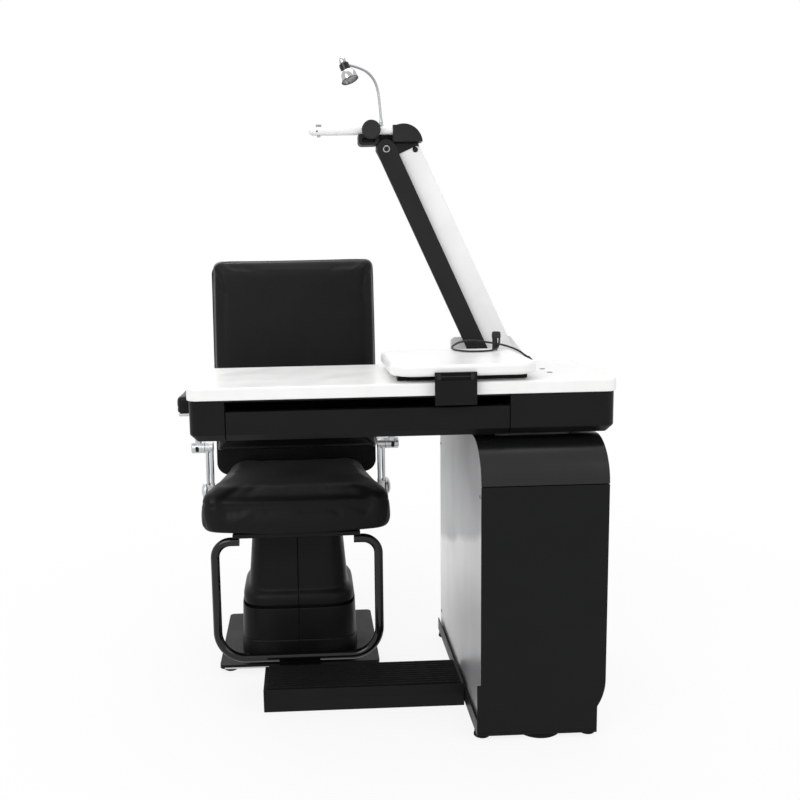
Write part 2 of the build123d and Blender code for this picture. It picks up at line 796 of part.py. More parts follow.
# Head: a domed plate behind the links, and a block in front of it above them
# that takes the end of the support tube
rear_pin_x = upper_pivot_x + link_pitch
head_left = 26
head_drop = 25
head_shoulder = 40
block_left = 19
block_rise = 29
dome_rise = 67
dome_flat = 34
dome_step = 7
dome_right = 101
tongue_left = 72
tongue_rise = 17
with BuildPart() as arm_head:
    with BuildSketch(front_plane(cheek_y1)):
        with BuildLine():
            Polyline(
                (upper_pivot_x + block_left, upper_pivot_z + head_shoulder),
                (upper_pivot_x + block_left, upper_pivot_z + dome_rise),
                (upper_pivot_x + block_left + dome_flat, upper_pivot_z + dome_rise),
                (upper_pivot_x + block_left + dome_flat + dome_step, upper_pivot_z + dome_rise - dome_step),
            )
            ThreePointArc(
                (upper_pivot_x + block_left + dome_flat + dome_step, upper_pivot_z + dome_rise - dome_step),
                (upper_pivot_x + dome_right - link_width / 4, upper_pivot_z + head_shoulder),
                (upper_pivot_x + dome_right, upper_pivot_z),
            )
            Polyline(
                (upper_pivot_x + dome_right, upper_pivot_z),
                (upper_pivot_x + dome_right - head_drop, upper_pivot_z - head_drop),
                (upper_pivot_x - head_left / 2, upper_pivot_z - head_drop),
                (upper_pivot_x - head_left, upper_pivot_z),
                (upper_pivot_x - head_left, upper_pivot_z + tongue_rise),
                (upper_pivot_x - tongue_left, upper_pivot_z + tongue_rise),
                (upper_pivot_x - tongue_left, upper_pivot_z + head_shoulder),
                (upper_pivot_x + block_left, upper_pivot_z + head_shoulder),
            )
        make_face()
    extrude(amount=cheek_depth)
    with BuildSketch(front_plane(cheek_y0)):
        with BuildLine():
            Polyline(
                (upper_pivot_x + block_left + dome_flat + dome_step, upper_pivot_z + dome_rise - dome_step),
                (upper_pivot_x + block_left + dome_flat, upper_pivot_z + dome_rise),
                (upper_pivot_x + block_left, upper_pivot_z + dome_rise),
                (upper_pivot_x + block_left, upper_pivot_z + block_rise),
                (upper_pivot_x + dome_right - link_width / 4, upper_pivot_z + block_rise),
                (upper_pivot_x + dome_right - link_width / 4, upper_pivot_z + head_shoulder),
                close=True,
            )
        make_face()
    extrude(amount=cheek_y0 - front_link_y0)
    rod(
        (upper_pivot_x + block_left - overrun, tube_y, tube_z), TO_RIGHT,
        dome_flat + overrun, tube_radius + turn_gap, Mode.SUBTRACT,
    )
    for pivot_x in (upper_pivot_x, rear_pin_x):
        rod(
            (pivot_x, cheek_y0 - overrun, upper_pivot_z), TO_REAR,
            cheek_depth + 2 * overrun, pin_radius, Mode.SUBTRACT,
        )
arm_head.part.label = "arm_head"
export_step(arm_head.part, "parts/arm_head.step")

with BuildPart() as upper_pins:
    for pivot_x, face_y in ((upper_pivot_x, front_link_y0), (rear_pin_x, rear_link_y0)):
        head_y = face_y - pin_head - soft_gap
        rod((pivot_x, head_y, upper_pivot_z), TO_REAR, cheek_y1 - head_y, pin_radius)
upper_pins.part.label = "upper_pins"
export_step(upper_pins.part, "parts/upper_pins.step")

# Bright ring round the head of the front pin
ring_radius = 10.5
with BuildPart() as ring_cap:
    ring_y = front_link_y0 - soft_gap - pin_head
    rod((upper_pivot_x, ring_y, upper_pivot_z), TO_REAR, pin_head, ring_radius)
    rod(
        (upper_pivot_x, ring_y - overrun, upper_pivot_z), TO_REAR,
        pin_head + 2 * overrun, pin_radius, Mode.SUBTRACT,
    )
ring_cap.part.label = "ring_cap"
export_step(ring_cap.part, "parts/ring_cap.step")

# Clamp hub on the tongue of the head: a slotted lobe below, the tube bore above,
# and a round knob whose shaft presses on the tube
hub_reach = 43
lobe_shift = 7
hub_x = upper_pivot_x - hub_reach
lobe_x = hub_x - lobe_shift
hub_half = 29
hub_upper_half = 20
hub_bottom = 41
hub_shoulder = 12
hub_top = 14
hub_round = 12
hub_wall = 6
hub_front = tube_y - tube_radius - hub_wall
hub_slot_length = 38
hub_slot_height = 12
hub_slot_drop = 28
hub_slot_depth = 9
knob_radius = 27
knob_depth = 14
knob_shaft_radius = 5
knob_edge = 3
knob_y0 = hub_front - soft_gap - knob_depth
knob_y1 = knob_y0 + knob_depth
with BuildPart() as clamp_hub:
    with BuildSketch(front_plane(cheek_y0)):
        with BuildLine():
            Polyline(
                (lobe_x - hub_half, tube_z - hub_shoulder),
                (lobe_x - hub_half, tube_z - hub_bottom),
                (lobe_x + hub_half, tube_z - hub_bottom),
                (lobe_x + hub_half, tube_z - hub_shoulder),
                (hub_x + hub_upper_half, tube_z - hub_shoulder),
                (hub_x + hub_upper_half, tube_z + hub_top),
                (hub_x - hub_upper_half, tube_z + hub_top),
                (hub_x - hub_upper_half, tube_z - hub_shoulder),
                close=True,
            )
        face = make_face()
        fillet(face.vertices().sort_by(Axis.Y)[:2], hub_round)
    extrude(amount=cheek_y0 - hub_front)
    with BuildSketch(front_plane(hub_front + hub_slot_depth)):
        with Locations((lobe_x, tube_z - hub_slot_drop)):
            SlotOverall(hub_slot_length, hub_slot_height)
    extrude(amount=hub_slot_depth + overrun, mode=Mode.SUBTRACT)
    rod(
        (lobe_x - hub_half - overrun, tube_y, tube_z), TO_RIGHT,
        2 * (hub_half + overrun), tube_radius + turn_gap, Mode.SUBTRACT,
    )
    rod(
        (hub_x, hub_front - overrun, tube_z), TO_REAR,
        tube_y - hub_front, knob_shaft_radius + turn_gap, Mode.SUBTRACT,
    )
clamp_hub.part.label = "clamp_hub"
export_step(clamp_hub.part, "parts/clamp_hub.step")

with BuildPart() as clamp_knob:
    rod((hub_x, knob_y0, tube_z), TO_REAR, knob_depth, knob_radius)
    fillet(clamp_knob.edges().filter_by(GeomType.CIRCLE), knob_edge)
    rod((hub_x, knob_y1, tube_z), TO_REAR, tube_y - tube_radius - soft_gap - knob_y1, knob_shaft_radius)
clamp_knob.part.label = "clamp_knob"
export_step(clamp_knob.part, "parts/clamp_knob.step")

# Support tube with a rounded nose and an upright hole for the hanging screw
tube_reach = 218
tube_plug = 26
nose_length = 10
nose_radius = 5
hang_reach = 190
screw_shank = 3.5
tube_x0 = upper_pivot_x - tube_reach
tube_x1 = upper_pivot_x + block_left + dome_flat - overrun
hang_x = upper_pivot_x - hang_reach
with BuildPart() as support_tube:
    rod((tube_x0 + nose_length, tube_y, tube_z), TO_RIGHT, tube_x1 - tube_x0 - nose_length, tube_radius)
    rod(
        (tube_x0 + nose_length + tube_plug + tube_wall, tube_y, tube_z), TO_RIGHT,
        tube_x1 - tube_x0, tube_radius - tube_wall, Mode.SUBTRACT,
    )
    cone((tube_x0, tube_y, tube_z), TO_RIGHT, nose_length, nose_radius, tube_radius)
    rod(
        (hang_x, tube_y, tube_z - tube_radius - overrun), UP,
        2 * (tube_radius + overrun), screw_shank + turn_gap, Mode.SUBTRACT,
    )
support_tube.part.label = "support_tube"
export_step(support_tube.part, "parts/support_tube.step")

# Hanging screw: a shank through the nose, wings above and a nut below
wing_length = 16
wing_height = 9
wing_depth = 3
collar_radius = 6
collar_height = 3
nut_radius = 5
nut_height = 4
with BuildPart() as tip_screw:
    shank_z0 = tube_z - tube_radius - soft_gap - nut_height
    shank_z1 = tube_z + tube_radius + soft_gap
    rod((hang_x, tube_y, shank_z0), UP, shank_z1 - shank_z0 + collar_height, screw_shank)
    rod((hang_x, tube_y, shank_z0), UP, nut_height, nut_radius)
    rod((hang_x, tube_y, shank_z1), UP, collar_height, collar_radius)
    block(
        hang_x - wing_length / 2, hang_x + wing_length / 2, tube_y - wing_depth / 2, tube_y + wing_depth / 2,
        shank_z1 + collar_height, shank_z1 + collar_height + wing_height,
    )
tip_screw.part.label = "tip_screw"
export_step(tip_screw.part, "parts/tip_screw.step")

# Lamp arm: a ferrule on the tube, and a bent tube that turns in it and rises to
# the lamp. Each pair is the share of the reach to the left and of the rise.
ferrule_setback = 13
ferrule_x = upper_pivot_x - ferrule_setback
ferrule_radius = 5.5
ferrule_height = 19
neck_radius = 3
neck_reach = 95
neck_rise = 150
neck_bend_shares = ((0, 0), (0.04, 0.33), (0.10, 0.60), (0.26, 0.79), (0.565, 0.94), (1, 1))
ferrule_z0 = tube_z + tube_radius
ferrule_z1 = ferrule_z0 + ferrule_height


def bend_radii(points, run_share=0.45):
    """The largest tangent arc that each corner of a route has room for."""
    radii = []
    for a, b, c in zip(points, points[1:], points[2:]):
        first = Vector(*b) - Vector(*a)
        second = Vector(*c) - Vector(*b)
        turn = first.get_angle(second)
        radii.append(run_share * min(first.length, second.length) / tan(radians(turn / 2)))
    return radii


with BuildPart() as neck_ferrule:
    rod((ferrule_x, tube_y, tube_z), UP, tube_radius + ferrule_height, ferrule_radius)
    rod((ferrule_x, tube_y, ferrule_z0 + overrun), UP, ferrule_height, neck_radius + turn_gap, Mode.SUBTRACT)
    rod((tube_x0, tube_y, tube_z), TO_RIGHT, tube_x1 - tube_x0, tube_radius, Mode.SUBTRACT)
neck_ferrule.part.label = "neck_ferrule"
export_step(neck_ferrule.part, "parts/neck_ferrule.step")

neck_points = [
    (ferrule_x - neck_reach * reach_share, tube_y, ferrule_z1 + neck_rise * rise_share)
    for reach_share, rise_share in neck_bend_shares
]
with BuildPart() as gooseneck:
    with BuildLine() as neck_route:
        FilletPolyline(*neck_points, radius=bend_radii(neck_points))
    with BuildSketch(Plane(origin=neck_route.line @ 0, z_dir=neck_route.line % 0)):
        Circle(neck_radius)
    sweep()
    foot_z0 = ferrule_z0 + overrun + soft_gap
    rod((ferrule_x, tube_y, foot_z0), UP, ferrule_z1 + neck_radius - foot_z0, neck_radius)
gooseneck.part.label = "gooseneck"
export_step(gooseneck.part, "parts/gooseneck.step")

# Lamp head on a leaning axis that points down, to the right and to the viewer
lamp_lean_right = 25
lamp_lean_front = 26
lamp_axis = Vector(
    sin(radians(lamp_lean_right)) * cos(radians(lamp_lean_front)),
    -sin(radians(lamp_lean_front)),
    -cos(radians(lamp_lean_right)) * cos(radians(lamp_lean_front)),
)
lamp_collar_radius = 13.5
lamp_collar_length = 24
lamp_reach = 6
lamp_rise = 4
neck_end = Vector(*neck_points[-1])
neck_way = (neck_end - Vector(*neck_points[-2])).normalized()
lamp_top = neck_end + Vector(-lamp_reach, 0, lamp_rise)
rib_count = 6
rib_depth = 1.2
cap_radius = 10
cup_length = 32
cup_radius = 24
cup_wall = 1.5
lens_thickness = 3
lens_setback = 2


def down_lamp(distance):
    """A point on the lamp's axis."""
    return tuple(lamp_top + lamp_axis * distance)


rib_pitch = lamp_collar_length / (2 * rib_count + 1)
with BuildPart() as lamp_collar:
    rod(down_lamp(0), tuple(lamp_axis), lamp_collar_length, lamp_collar_radius - rib_depth)
    for rib in range(rib_count + 1):
        rod(down_lamp(2 * rib * rib_pitch), tuple(lamp_axis), rib_pitch, lamp_collar_radius)
    rod(
        tuple(neck_end - neck_way * 2 * lamp_collar_radius), tuple(neck_way),
        2 * lamp_collar_radius + soft_gap, neck_radius + turn_gap, Mode.SUBTRACT,
    )
lamp_collar.part.label = "lamp_collar"
export_step(lamp_collar.part, "parts/lamp_collar.step")

bore_radius = lamp_collar_radius - cup_wall
mouth_radius = cup_radius - cup_wall / 2
with BuildPart() as lamp_shade:
    rod(down_lamp(-cap_radius / 2), tuple(lamp_axis), cap_radius / 2, cap_radius)
    with Locations(down_lamp(-cap_radius / 2)):
        Sphere(cap_radius)
    rod(down_lamp(0), tuple(lamp_axis), cap_radius + overrun, cap_radius + overrun, Mode.SUBTRACT)
    cone(down_lamp(lamp_collar_length), tuple(lamp_axis), cup_length, lamp_collar_radius, cup_radius)
    cone(
        down_lamp(lamp_collar_length + cup_wall), tuple(lamp_axis), cup_length,
        bore_radius, mouth_radius, Mode.SUBTRACT,
    )
lamp_shade.part.label = "lamp_shade"
export_step(lamp_shade.part, "parts/lamp_shade.step")

lens_back = cup_length - lens_setback - lens_thickness - cup_wall
lens_radius = bore_radius + (mouth_radius - bore_radius) * lens_back / cup_length
with BuildPart() as lamp_lens:
    rod(
        down_lamp(lamp_collar_length + cup_length - lens_setback - lens_thickness),
        tuple(lamp_axis), lens_thickness, lens_radius,
    )
lamp_lens.part.label = "lamp_lens"
export_step(lamp_lens.part, "parts/lamp_lens.step")

# Instrument cable: out of a leaning gland behind the tray, over its rear edge, round
# a loop on the tray and up into a plug just clear of it. The route is chosen by
# hand: each point's place left of the table's right edge, in front of its rear edge
# and above its top
cable_radius = 2.75
cable_places = [
    (135, 32, 14),
    (151, 34, 29),
    (177, 36, 42),
    (211, 40, 53),
    (245, 43, 59),
    (277, 45, 65),
    (307, 48, 67),
    (335, 58, 62),
    (356, 80, 54),
    (359, 110, 49),
    (343, 140, 48),
    (314, 159, 47.6),
    (282, 156, 47.6),
    (262, 148, 47.6),
    (247, 130, 48.6),
    (237, 117, 52),
    (232, 109, 58.5),
    (229.7, 105, 68),
    (229.7, 105, 77.5),
]
cable_route = [
    (table_x1 - left, table_y1 - front, table_height + rise)
    for left, front, rise in cable_places
]
gland_radius = 6.5
gland_length = 15
gland_lean = Vector(*cable_route[0]) - Vector(*cable_route[1])
gland_lean = gland_lean.normalized()
with BuildPart() as instrument_cable:
    with BuildLine() as cable_line:
        FilletPolyline(*cable_route, radius=bend_radii(cable_route))
    with BuildSketch(Plane(origin=cable_line.line @ 0, z_dir=cable_line.line % 0)):
        Circle(cable_radius)
    sweep()
instrument_cable.part.label = "instrument_cable"
export_step(instrument_cable.part, "parts/instrument_cable.step")
print("cable radii", [round(radius, 1) for radius in bend_radii(cable_route)])
cable_length = sum(edge.length for edge in cable_line.edges())
cable_ratio = instrument_cable.part.volume / (pi * cable_radius**2 * cable_length)
print("cable length", round(cable_length, 1), "volume ratio", round(cable_ratio, 4))

with BuildPart() as cable_gland:
    rod(cable_route[0], tuple(gland_lean), 2 * gland_length, gland_radius)
    block(
        cable_route[0][0] - 4 * gland_length, cable_route[0][0] + 4 * gland_length,
        cable_route[0][1] - 2 * gland_length, cable_route[0][1] + 2 * gland_length,
        table_height - 4 * gland_length, table_height, mode=Mode.SUBTRACT,
    )
cable_gland.part.label = "cable_gland"
export_step(cable_gland.part, "parts/cable_gland.step")

# The plug's body is held just clear of the tray, and its wider head takes the cable's end
plug_body_radius = 7.5
plug_head_radius = 12
plug_head = 17
plug_body_left = 11.8
plug_body_rear = 2.5
plug_head_left = 8.3
plug_head_rear = 2
plug_foot_gap = 0.4
cable_end_x, cable_end_y, plug_z0 = cable_route[-1]
plug_foot_z = tray_z1 + plug_foot_gap
with BuildPart() as cable_plug:
    rod(
        (cable_end_x - plug_body_left, cable_end_y + plug_body_rear, plug_foot_z), UP,
        plug_z0 + plug_head - plug_foot_z, plug_body_radius,
    )
    rod(
        (cable_end_x - plug_head_left, cable_end_y + plug_head_rear, plug_z0), UP,
        plug_head, plug_head_radius,
    )
cable_plug.part.label = "cable_plug"
export_step(cable_plug.part, "parts/cable_plug.step")

# Foot step: a sheet metal box open below, with a ribbed tread on its top
tread_inset = 10
tread_front = 4
tread_base = 2
tread_rib_width = 5
tread_rib_height = 2
tread_ribs = 11
tread_rear = 5
with BuildPart() as foot_step:
    block(step_x0, step_x1, step_y0, step_y1, 0, step_height)
    block(
        step_x0 + step_wall, step_x1 - step_wall, step_y0 + step_wall, step_y1 - step_wall,
        -overrun, step_height - step_wall, mode=Mode.SUBTRACT,
    )
foot_step.part.label = "foot_step"
export_step(foot_step.part, "parts/foot_step.step")

tread_y0 = step_y0 + tread_front
tread_y1 = step_y1 - tread_rear
tread_z1 = step_height + tread_base
tread_pitch = (tread_y1 - tread_y0 - tread_rib_width) / (tread_ribs - 1)
with BuildPart() as step_tread:
    block(step_x0 + tread_inset, step_x1 - tread_inset, tread_y0, tread_y1, step_height, tread_z1)
    for rib in range(tread_ribs):
        rib_y = tread_y0 + rib * tread_pitch
        block(
            step_x0 + tread_inset, step_x1 - tread_inset, rib_y, rib_y + tread_rib_width,
            tread_z1, tread_z1 + tread_rib_height,
        )
step_tread.part.label = "step_tread"
export_step(step_tread.part, "parts/step_tread.step")

# Chair floor plate, with the plate that joins it to the rear of the step
plate_round = 14
join_width = 120
join_sheet = 5
join_flange = 36
join_overlap = 40
join_x0 = chair_x - join_width / 2
join_x1 = chair_x + join_width / 2
with BuildPart() as chair_base:
    with BuildSketch(Plane.XY.offset(floor_gap)):
        with Locations((chair_x, chair_y)):
            RectangleRounded(chair_plate_width, chair_plate_depth, plate_round)
    extrude(amount=chair_plate_thickness)
    block(join_x0, join_x1, step_y1, chair_plate_y0 + overrun, floor_gap, chair_plate_top)
    block(
        join_x0, join_x1, step_y1, chair_plate_y0 + join_overlap,
        chair_plate_top, chair_plate_top + join_sheet,
    )
    block(join_x0, join_x1, step_y1, step_y1 + join_sheet, chair_plate_top, chair_plate_top + join_flange)
chair_base.part.label = "chair_base"
export_step(chair_base.part, "parts/chair_base.step")

# Fixed and moving posts of the chair's lift
post_radius = 55
post_wall = 6
post_top = 340
post_flange_radius = 90
inner_post_drop = 280
post_inner_radius = post_radius - post_wall - slide_gap
with BuildPart() as chair_post_outer:
    rod((chair_x, chair_y, chair_plate_top), UP, post_top - chair_plate_top, post_radius)
    rod((chair_x, chair_y, chair_plate_top), UP, chair_plate_thickness, post_flange_radius)
    rod(
        (chair_x, chair_y, chair_plate_top + chair_plate_thickness), UP,
        post_top, post_radius - post_wall, Mode.SUBTRACT,
    )
chair_post_outer.part.label = "chair_post_outer"
export_step(chair_post_outer.part, "parts/chair_post_outer.step")

with BuildPart() as chair_post_inner:
    rod(
        (chair_x, chair_y, post_top - inner_post_drop), UP,
        frame_z0 - post_top + inner_post_drop, post_inner_radius,
    )
    rod(
        (chair_x, chair_y, post_top - inner_post_drop - overrun), UP,
        frame_z0 - post_top + inner_post_drop, post_inner_radius - post_wall, Mode.SUBTRACT,
    )
    rod((chair_x, chair_y, frame_z0 - post_wall), UP, post_wall, post_flange_radius)
chair_post_inner.part.label = "chair_post_inner"
export_step(chair_post_inner.part, "parts/chair_post_inner.step")

# Telescoping covers round the lift: a lower one on the plate and a flared upper one
cover_wall = 3
lower_cover_foot = 352
lower_cover_taper = 10
lower_cover_top = 172
cover_side_difference = 50
cover_corner_radius = 60
collar_depth = 50
collar_step = 4
skirt_gap = 9
lip_overhang = 9
waist_taper = 35
top_taper = 34
lip_gap = 8
lip_height = 44
skirt_bottom = 27
lower_cover_head = lower_cover_foot - lower_cover_taper
skirt_width = lower_cover_head - 2 * cover_wall - 2 * skirt_gap
upper_cover_lip = skirt_width + 2 * lip_overhang
upper_cover_waist = upper_cover_lip - waist_taper
upper_cover_top_width = upper_cover_waist - top_taper
upper_cover_z0 = lower_cover_top + lip_gap
upper_cover_z1 = frame_z0


def cover_section(width, inset=0):
    """Width, depth and corner radius of a column cover's outline."""
    return (width - 2 * inset, width - cover_side_difference - 2 * inset, cover_corner_radius - inset)


with BuildPart() as column_cover_lower:
    for inset, mode in ((0, Mode.ADD), (cover_wall, Mode.SUBTRACT)):
        for level, width in (
            (chair_plate_top, lower_cover_foot),
            (chair_plate_top + collar_depth, lower_cover_foot - collar_step),
            (lower_cover_top, lower_cover_head),
        ):
            with BuildSketch(Plane.XY.offset(level)):
                with Locations((chair_x, chair_y)):
                    RectangleRounded(*cover_section(width, inset))
        loft(ruled=True, mode=mode)
column_cover_lower.part.label = "column_cover_lower"
export_step(column_cover_lower.part, "parts/column_cover_lower.step")

with BuildPart() as column_cover_upper:
    for inset, mode in ((0, Mode.ADD), (cover_wall, Mode.SUBTRACT)):
        for level, width in (
            (skirt_bottom, skirt_width),
            (upper_cover_z0, skirt_width),
        ):
            with BuildSketch(Plane.XY.offset(level)):
                with Locations((chair_x, chair_y)):
                    RectangleRounded(*cover_section(width, inset))
        loft(ruled=True, mode=mode)
    for inset, mode in ((0, Mode.ADD), (cover_wall, Mode.SUBTRACT)):
        for level, width in (
            (upper_cover_z0, upper_cover_lip if inset == 0 else skirt_width),
            (upper_cover_z0 + lip_height, upper_cover_waist),
            (upper_cover_z1, upper_cover_top_width),
        ):
            with BuildSketch(Plane.XY.offset(level)):
                with Locations((chair_x, chair_y)):
                    RectangleRounded(*cover_section(width, inset))
        loft(ruled=True, mode=mode)
column_cover_upper.part.label = "column_cover_upper"
export_step(column_cover_upper.part, "parts/column_cover_upper.step")

# Seat frame: a plate, two bars to the arm posts and two lugs for the back hinge
frame_width = 360
loop_advance = 237
loop_margin = 15
frame_rear = 133
arm_bar_margin = 22
hinge_rise = 18
loop_y = chair_y - loop_advance
frame_y0 = loop_y - loop_margin
frame_y1 = chair_y + frame_rear
arm_bar_y0 = post_y - arm_bar_margin
arm_bar_y1 = post_y + arm_bar_margin
hinge_z = seat_bottom + hinge_rise
hinge_radius = 12
hinge_pin_radius = 6
lug_reach = 60
lug_width = 18

# The back leans on a plane whose rear upper edge is the rearmost place of the part
back_width = 524
back_gap = 5.75
back_rise_share = 1.05
back_bottom = seat_bottom + back_rise_share * seat_thickness + back_gap
back_height = 632
back_lean = 5
back_thickness = 62
back_shell_thickness = 12
back_corner = 40
back_bulge = 6
shell_inset = 10
hinge_setback = 8.138
lean = radians(back_lean)
shell_rear_y = y_rear - (back_height - shell_inset - back_shell_thickness / 3) * sin(lean)
hinge_y = shell_rear_y - hinge_setback
with BuildPart() as seat_frame:
    block(chair_x - frame_width / 2, chair_x + frame_width / 2, frame_y0, frame_y1, frame_z0, frame_top)
    block(chair_x - arm_post_reach, chair_x + arm_post_reach, arm_bar_y0, arm_bar_y1, frame_z0, frame_top)
    for side in (-1, 1):
        lug_x = chair_x + side * (lug_reach + lug_width / 2)
        lug_x0 = lug_x - lug_width / 2
        lug_x1 = lug_x + lug_width / 2
        block(lug_x0, lug_x1, frame_y1, hinge_y + hinge_radius, frame_z0, frame_top)
        block(lug_x0, lug_x1, hinge_y - hinge_radius, hinge_y + hinge_radius, frame_z0, hinge_z)
        rod((lug_x - lug_width / 2, hinge_y, hinge_z), TO_RIGHT, lug_width, hinge_radius)
    for side in (-1, 1):
        lug_x = chair_x + side * (lug_reach + lug_width / 2)
        rod(
            (lug_x - lug_width / 2 - overrun, hinge_y, hinge_z), TO_RIGHT,
            lug_width + 2 * overrun, hinge_pin_radius + turn_gap, Mode.SUBTRACT,
        )
seat_frame.part.label = "seat_frame"
export_step(seat_frame.part, "parts/seat_frame.step")

# Foot loop: a round tube that hangs from the seat frame in front of the plate
loop_radius = 12.5
loop_half = 232
loop_bottom = 65
loop_top_inset = 70
loop_top_bend = 45
loop_bottom_bend = 81
loop_top = frame_z0 - loop_radius
loop_points = [
    (chair_x - loop_half + loop_top_inset, loop_y, loop_top),
    (chair_x - loop_half, loop_y, loop_top),
    (chair_x - loop_half, loop_y, loop_bottom),
    (chair_x + loop_half, loop_y, loop_bottom),
    (chair_x + loop_half, loop_y, loop_top),
    (chair_x + loop_half - loop_top_inset, loop_y, loop_top),
]
with BuildPart() as foot_loop:
    with BuildLine() as loop_line:
        FilletPolyline(
            *loop_points, radius=[loop_top_bend, loop_bottom_bend, loop_bottom_bend, loop_top_bend],
        )
    with BuildSketch(Plane(origin=loop_line.line @ 0, z_dir=loop_line.line % 0)):
        Circle(loop_radius)
    sweep()
foot_loop.part.label = "foot_loop"
export_step(foot_loop.part, "parts/foot_loop.step")

# Seat cushion: drawn in below, crowned above, with a front edge that rolls down.
# Each row: share of the thickness, share of the edge inset, share of the front roll
seat_edge = 34
seat_roll = 46
seat_corner = 52
seat_shares = (
    (0.0, 0.50, 0.35),
    (0.06, 0.18, 0.10),
    (0.18, 0.0, 0.0),
    (0.60, 0.0, 0.0),
    (0.76, 0.06, 0.16),
    (0.88, 0.24, 0.42),
    (0.96, 0.58, 0.74),
    (1.0, 1.0, 1.0),
    (1.05, 2.4, 2.0),
)
with BuildPart() as seat_cushion:
    for thickness_share, edge_share, roll_share in seat_shares:
        inset = seat_edge * edge_share
        with BuildSketch(Plane.XY.offset(seat_bottom + seat_thickness * thickness_share)):
            with BuildLine():
                Polyline(
                    (chair_x - seat_front_width / 2 + inset, seat_y0 + seat_roll * roll_share),
                    (chair_x + seat_front_width / 2 - inset, seat_y0 + seat_roll * roll_share),
                    (chair_x + seat_rear_width / 2 - inset, seat_y0 + seat_depth - inset),
                    (chair_x - seat_rear_width / 2 + inset, seat_y0 + seat_depth - inset),
                    close=True,
                )
            face = make_face()
            fillet(face.vertices(), seat_corner)
    loft(ruled=True)
seat_cushion.part.label = "seat_cushion"
export_step(seat_cushion.part, "parts/seat_cushion.step")

# Backrest: a crowned cushion on a flat shell that reaches down behind the seat
shell_drop = 84
back_shares = (
    (0.0, 0.30),
    (0.12, 0.06),
    (0.30, 0.0),
    (0.62, 0.0),
    (0.80, 0.16),
    (0.92, 0.50),
    (1.0, 1.2),
)
back_edge = 26
back_up = Vector(0, sin(lean), cos(lean))
back_front = Vector(0, -cos(lean), sin(lean))
shell_origin = Vector(chair_x, shell_rear_y, back_bottom) + back_up * (back_height / 2)


def back_plane(distance):
    """A plane at a distance in front of the shell's rear face, centred on the back."""
    return Plane(origin=shell_origin + back_front * distance, x_dir=(1, 0, 0), z_dir=back_front)


with BuildPart() as back_shell:
    with BuildSketch(back_plane(0)):
        with Locations((0, -shell_drop / 2)):
            RectangleRounded(
                back_width - 2 * shell_inset, back_height + shell_drop - 2 * shell_inset, back_corner,
            )
    extrude(amount=back_shell_thickness)
    fillet(back_shell.faces().sort_by(Axis.Y)[-1].edges(), back_shell_thickness / 3)
back_shell.part.label = "back_shell"
export_step(back_shell.part, "parts/back_shell.step")

with BuildPart() as back_cushion:
    for thickness_share, edge_share in back_shares:
        inset = back_edge * edge_share
        half_x = back_width / 2 - inset - back_bulge
        half_z = back_height / 2 - inset
        with BuildSketch(back_plane(back_shell_thickness + soft_gap + back_thickness * thickness_share)):
            with BuildLine():
                Line((-half_x, half_z), (half_x, half_z))
                ThreePointArc((half_x, half_z), (half_x + back_bulge, 0), (half_x, -half_z))
                Line((half_x, -half_z), (-half_x, -half_z))
                ThreePointArc((-half_x, -half_z), (-half_x - back_bulge, 0), (-half_x, half_z))
            face = make_face()
            fillet(face.vertices(), back_corner)
    loft(ruled=True)
back_cushion.part.label = "back_cushion"
export_step(back_cushion.part, "parts/back_cushion.step")

# Back bars: two flat bars from the hinge up the rear of the shell
bar_width = 40
bar_thickness = 8
bar_length = 330
bar_reach = lug_reach + lug_width + slide_gap
with BuildPart() as back_bars:
    for side in (-1, 1):
        bar_x = chair_x + side * (bar_reach + bar_width / 2)
        bar_start = Vector(bar_x, shell_rear_y, back_bottom)
        hinge_distance = (back_bottom - hinge_z) / cos(lean)
        foot_point = bar_start - back_up * hinge_distance
        bar_rear = bar_start - back_front * bar_thickness
        with BuildSketch(Plane(origin=bar_rear, x_dir=(1, 0, 0), z_dir=back_front)):
            with Locations((0, bar_length / 2 - hinge_distance)):
                Rectangle(bar_width, bar_length)
        extrude(amount=bar_thickness)
        rod((bar_x - bar_width / 2, hinge_y, hinge_z), TO_RIGHT, bar_width, hinge_radius)
    for side in (-1, 1):
        bar_x = chair_x + side * (bar_reach + bar_width / 2)
        rod(
            (bar_x - bar_width / 2 - overrun, hinge_y, hinge_z), TO_RIGHT,
            bar_width + 2 * overrun, hinge_pin_radius, Mode.SUBTRACT,
        )
    pin_half = bar_reach + bar_width
    rod((chair_x - pin_half, hinge_y, hinge_z), TO_RIGHT, 2 * pin_half, hinge_pin_radius)
back_bars.part.label = "back_bars"
export_step(back_bars.part, "parts/back_bars.step")

# Arm posts: an upright at each side of the seat, a round boss low on it, and the
# fixed half of the armrest's hinge barrel on top with its pin
post_width = 24
post_depth = 34
barrel_rise = 200
barrel_radius = 14
barrel_pin_radius = 6
barrel_length = 65
boss_rise = 65
barrel_z = seat_bottom + barrel_rise
boss_height = seat_bottom + boss_rise
post_boss_radius = 28
post_boss_depth = 16
with BuildPart() as arm_posts:
    for side in (-1, 1):
        inner_x = chair_x + side * arm_post_reach
        outer_x = inner_x + side * post_width
        block(
            min(inner_x, outer_x), max(inner_x, outer_x), post_y - post_depth / 2, post_y + post_depth / 2,
            frame_z0, barrel_z,
        )
        rod((inner_x, post_y, barrel_z), (side, 0, 0), post_width, barrel_radius)
        rod((outer_x, post_y, boss_height), (side, 0, 0), post_boss_depth, post_boss_radius)
        rod((inner_x, post_y, barrel_z), (side, 0, 0), barrel_length, barrel_pin_radius)
arm_posts.part.label = "arm_posts"
export_step(arm_posts.part, "parts/arm_posts.step")

